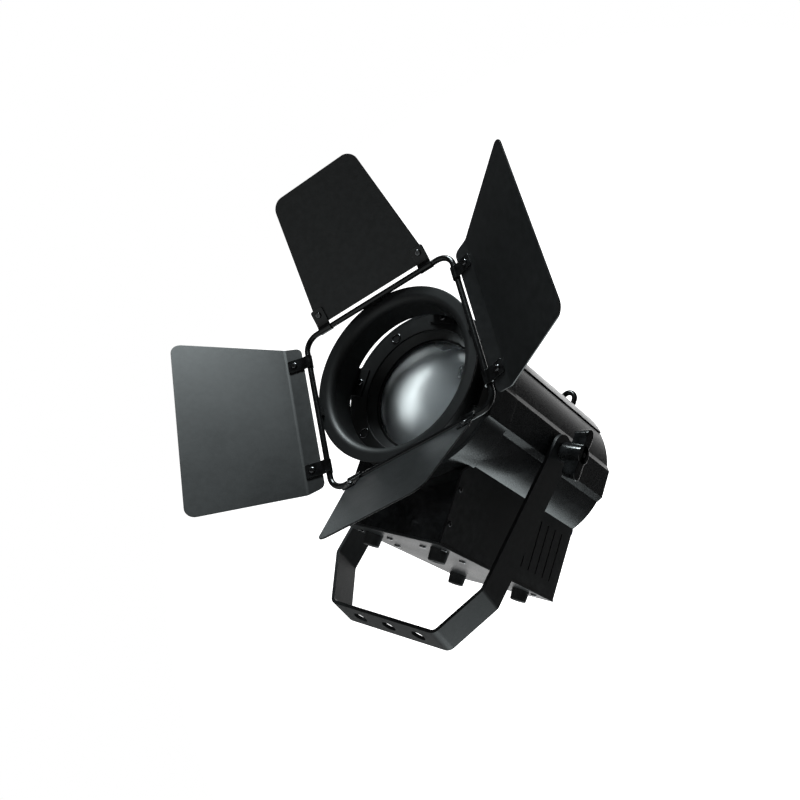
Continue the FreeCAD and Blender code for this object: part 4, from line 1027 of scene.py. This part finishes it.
def zoom_knob():
    bm = bmesh.new()
    bmesh.ops.create_circle(bm, cap_ends=True, segments=60, radius=ZOOM_RADIUS - 0.35,
                            matrix=shift(0, 0, ZOOM_UNDER))
    made = bmesh.ops.extrude_face_region(bm, geom=bm.faces[:])["geom"]
    bmesh.ops.translate(bm, verts=verts_in(made), vec=(0, 0, ZOOM_LENGTH))
    bmesh.ops.recalc_face_normals(bm, faces=bm.faces)
    ease(bm, 0.8, segments=2, limit=60)
    sides = [f for f in bm.faces if abs(f.normal.z) < 0.1 and f.calc_area() > 2]
    strips = sorted(sides, key=lambda f: math.atan2(*f.calc_center_median().xy))[::2]
    bmesh.ops.inset_individual(bm, faces=strips, thickness=0.12)
    for strip in strips:
        bmesh.ops.translate(bm, verts=strip.verts, vec=strip.normal * KNURL_DEPTH)
    start = LENS_RADIUS + 0.4
    stem = spun([(AXIS, start), (ZOOM_STEM, start), (ZOOM_STEM, ZOOM_UNDER),
                 (AXIS, ZOOM_UNDER)], steps=24, upright=True)
    stamp(bm, stem)
    stem.free()
    finish_piece("knurled_zoom_knob", bm, HEAD @ shift(0, ZOOM_BACK, 0) @ turn(-90, "Y"),
                 "zoom_carriage", "knob_plastic", ["zoom_knob"], sharp=25.0)


zoom_knob()

# %% [markdown]
# ## Safety eye
# A loop of thick rod on the top cover takes the safety cable. It is one circle pulled
# up one leg, spun half a turn, and pulled down the other.

# %% Safety eye
EYE_RADIUS, EYE_ROD, EYE_ACROSS, EYE_BACK = 6.5, 2.7, 14.0, 243.0
EYE_LOW, EYE_CENTRE = 66.2, 75.5


def safety_eye():
    bm = bmesh.new()
    start = shift(EYE_ACROSS + EYE_RADIUS, EYE_BACK, EYE_LOW)
    ring = bmesh.ops.create_circle(bm, segments=20, radius=EYE_ROD, cap_ends=True, matrix=start)
    edges = edges_of(ring["verts"])
    verts, edges = pull(bm, edges, (0, 0, EYE_CENTRE - EYE_LOW))
    bend = bmesh.ops.spin(bm, geom=verts + edges, cent=(EYE_ACROSS, EYE_BACK, EYE_CENTRE),
                          axis=(0, -1, 0), angle=math.pi, steps=20, use_merge=False)
    _, edges = pull(bm, edges_in(bend["geom_last"]), (0, 0, EYE_LOW - EYE_CENTRE))
    bmesh.ops.contextual_create(bm, geom=edges)
    finish_piece("bent_safety_eye", bm, HEAD, "head", "satin_black_steel", ["safety_eye"],
                 sharp=50.0)


safety_eye()

# %% [markdown]
# ## Rear panel fittings
# The back carries four buttons, a display window, two power sockets and two data
# sockets with keys and contacts inside. Nothing is lettered.

# %% Buttons and display
BARREL_REAR, BOX_WALL, PANEL_ROW = 252.4, 1.5, -96.5
BUTTON_PITCH, BUTTON_RADIUS, BUTTON_PROUD = 12.0, 3.4, 2.0


def buttons():
    front, rear = BARREL_REAR - BOX_WALL * 2, BARREL_REAR + BOX_WALL + BUTTON_PROUD
    outline = [(AXIS, front), (BUTTON_RADIUS, front), (BUTTON_RADIUS, rear), (AXIS, rear)]
    for index in range(4):
        across = BUTTON_PITCH * (index - 1.5)
        bm = spun(outline, steps=40, rounds=[(2, 0.7)])
        name = f"button_{index + 1}"
        finish_piece(f"domed_{name}", bm, HEAD @ shift(across, 0, PANEL_ROW), name,
                     "button_rubber", [name])


buttons()


# %% Sockets
SOCKET_PLATE, SOCKET_WALL, PIN_RADIUS, PIN_CIRCLE = 1.5, 1.5, 1.1, 0.42


def socket(name, across, up, radius, front, length, finish):
    """A square flange, a round shell, a keyed bore and a ring of contacts."""
    bm = bmesh.new()
    half = radius + SOCKET_WALL
    bmesh.ops.create_cube(bm, size=1.0, matrix=shift(0, front + SOCKET_PLATE / 2, 0)
                          @ Matrix.Diagonal((2 * half, SOCKET_PLATE, 2 * half, 1)))
    upright = [e for e in bm.edges if abs((e.verts[0].co - e.verts[1].co).y) > 1]
    ease(bm, 1.6, segments=4, edges=upright)
    ease(bm, 0.3, segments=2, limit=50)
    rear = front + length
    middle = front + length / 2
    face, bore = front + SOCKET_PLATE, radius - SOCKET_WALL
    shell = spun([(AXIS, face), (radius, face), (radius, rear),
                  (bore, rear), (bore, middle), (AXIS, middle)],
                 steps=56, rounds=[(2, 0.4), (3, 0.3)])
    stamp(bm, shell)
    shell.free()
    for index in range(3):
        angle = math.radians(90 + 120 * index)
        out = radius * PIN_CIRCLE
        pin = spun([(AXIS, middle), (PIN_RADIUS, middle), (PIN_RADIUS, rear - 0.8),
                    (AXIS, rear - 0.8)], steps=14, rounds=[(2, 0.3)])
        stamp(bm, pin, shift(out * math.cos(angle), 0, out * math.sin(angle)))
        pin.free()
        key = bmesh.ops.create_cube(bm, size=1.0, matrix=turn(120 * index + 30, "Y")
                                    @ shift(0, (middle + rear) / 2 - 0.4, radius - 1.9)
                                    @ Matrix.Diagonal((1.8, length / 2 - 1.4, 1.2, 1)))
        sides = dict.fromkeys(f for v in key["verts"] for f in v.link_faces)
        bmesh.ops.recalc_face_normals(bm, faces=list(sides))
    for x in (-1, 1):
        spot = shift(x * (half - 1.9), front + 1.4, x * (half - 1.9)) @ turn(-90, "X")
        head = pan_head(1.4, 0.9, segments=16)
        stamp(bm, head, spot)
        head.free()
    finish_piece(f"socket_{name}", bm, HEAD @ shift(across, 0, up), "head", finish, [name])


BARREL_RADIUS, POWER_RADIUS, DATA_RADIUS = 71.0, 10.0, 8.0
POWER_UP = -math.sqrt(BARREL_RADIUS ** 2 - BOX_HALF ** 2) - BOX_WALL
POWER_ACROSS = BOX_HALF - POWER_RADIUS - SOCKET_WALL - BOX_WALL * 2
DATA_ACROSS = BOX_HALF - DATA_RADIUS - SOCKET_WALL - FOOT_RADIUS
PANEL_FACE = BARREL_REAR + BOX_WALL
for side, name, finish in ((1, "power_inlet", "socket_blue"), (-1, "power_outlet", "socket_grey")):
    socket(name, side * POWER_ACROSS, POWER_UP, POWER_RADIUS, BARREL_REAR, 9.6, finish)
for side, name in ((1, "data_in"), (-1, "data_out")):
    socket(name, side * DATA_ACROSS, PANEL_ROW, DATA_RADIUS, PANEL_FACE, 6.0, "panel_black")
eased_copy("display_window", "head", "display_glass", 0.15)

# %% [markdown]
# ## Inside the barrel
# The reflector, light engine, cooling fins, guide rods and boards are only glimpsed
# through the lens, the slots and the grille. Their engineering shapes are right as they
# are, so they only get their finishes.

# %% Finishes for the inner pieces
INNER = {
    "guide_rods": "steel_rod", "bulkhead": "powder_black_shell",
    "reflector": "reflector_aluminium", "led_module": "led_board",
    "led_emitter": "led_phosphor", "heat_sink": "sink_aluminium",
    "power_supply": "supply_case", "driver_board": "circuit_board",
    "control_board": "circuit_board",
}
for node, finish in INNER.items():
    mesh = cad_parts[node].data
    mesh.materials.clear()
    mesh.materials.append(FINISH[finish])
print("inner nodes finished:", len(INNER))

# %% [markdown]
# ## Studio
# The lamp hangs in a white room over a pale floor. The camera sees the backdrop white all
# round, but in reflections only a patch above and behind the lamp glows, so the black
# finishes stay black and the faces turned to that patch shine. One soft box lights the
# doors from above, a weak one catches the lower bevels from behind, and a tall one
# lights the lens alone, which gives its dome the broad highlight.

# %% Floor
FLOOR_HEIGHT, FLOOR_SIZE = -0.95, 5.0


def studio_floor():
    bm = bmesh.new()
    bmesh.ops.create_grid(bm, x_segments=8, y_segments=8, size=FLOOR_SIZE / 2,
                          matrix=shift(0, 0, FLOOR_HEIGHT))
    mesh = bpy.data.meshes.new("floor")
    bm.to_mesh(mesh)
    bm.free()
    tree, shader = new_finish("pale_floor")
    where = place_in(tree)
    tone = noise(tree, where, 3.0, 2.0)
    pale = mix_colour(tree, tone, (0.8, 0.8, 0.79, 1), (0.84, 0.84, 0.83, 1))
    link(tree, pale, shader.inputs["Base Color"])
    shader.inputs["Roughness"].default_value = 0.9
    mesh.materials.append(FINISH["pale_floor"])
    floor = bpy.data.objects.new("floor", mesh)
    scene.collection.objects.link(floor)


studio_floor()

# %% Camera
CAMERA_AT = Vector((0.5093, -0.6382, -0.2063))
CAMERA_FORWARD = Vector((-0.6332, 0.6425, 0.4316)).normalized()
CAMERA_UP = Vector((-0.0978, -0.6196, 0.7788))
CAMERA_LENS, SENSOR_WIDTH = 45.27, 36.0


def studio_camera():
    camera = bpy.data.objects.new("camera", bpy.data.cameras.new("camera"))
    camera.data.lens = CAMERA_LENS
    camera.data.sensor_width = SENSOR_WIDTH
    right = CAMERA_FORWARD.cross(CAMERA_UP).normalized()
    up = right.cross(CAMERA_FORWARD)
    camera.matrix_world = Matrix((right, up, -CAMERA_FORWARD)).transposed().to_4x4()
    camera.matrix_world.translation = CAMERA_AT
    scene.collection.objects.link(camera)
    scene.camera = camera


studio_camera()

# %% Backdrop
GLOW_TOWARDS = Vector((-0.4, 0.82, 0.42)).normalized()
GLOW_EDGE = 0.8


def backdrop(dim, bright):
    world = bpy.data.worlds.new("white room")
    world.use_nodes = True
    tree = world.node_tree
    surface = tree.nodes["Background"]
    direction = tree.nodes.new("ShaderNodeTexCoord").outputs["Generated"]
    along = tree.nodes.new("ShaderNodeVectorMath")
    along.operation = "DOT_PRODUCT"
    link(tree, direction, along.inputs[0])
    along.inputs[1].default_value = GLOW_TOWARDS
    glow = ramp(tree, along.outputs["Value"], GLOW_EDGE, 1.0, dim, bright)
    seen = tree.nodes.new("ShaderNodeLightPath").outputs["Is Camera Ray"]
    strength = math_node(tree, "MAXIMUM", glow, seen)
    link(tree, strength, surface.inputs["Strength"])
    surface.inputs["Color"].default_value = (1, 1, 1, 1)
    scene.world = world


backdrop(0.035, 2.3)

# %% Soft boxes
AIM = Vector((-0.02, -0.12, 0.16))
COOL_WHITE = (0.88, 0.98, 1.0)


def soft_box(name, direction, distance, width, height, power):
    light = bpy.data.lights.new(name, "AREA")
    light.shape = "RECTANGLE"
    light.size, light.size_y = width, height
    light.energy = power
    light.color = COOL_WHITE
    towards = Vector(direction).normalized()
    box = bpy.data.objects.new(name, light)
    box.matrix_world = towards.to_track_quat("Z", "Y").to_matrix().to_4x4()
    box.matrix_world.translation = AIM + towards * distance
    scene.collection.objects.link(box)
    return box


soft_box("top_box", (-0.3, -0.7, 0.74), 1.25, 0.4, 0.4, 18.0)
soft_box("rear_low_box", (0.15, 0.9, -0.36), 1.4, 0.8, 0.6, 6.0)
lens_box = soft_box("lens_box", (-0.75, -0.65, 0.04), 1.2, 0.6, 1.3, 84.0)
lens_only = bpy.data.collections.new("lens only")
lens_only.objects.link(bpy.data.objects["pressed_lens"])
lens_box.light_linking.receiver_collection = lens_only
scene.view_settings.view_transform = "Standard"
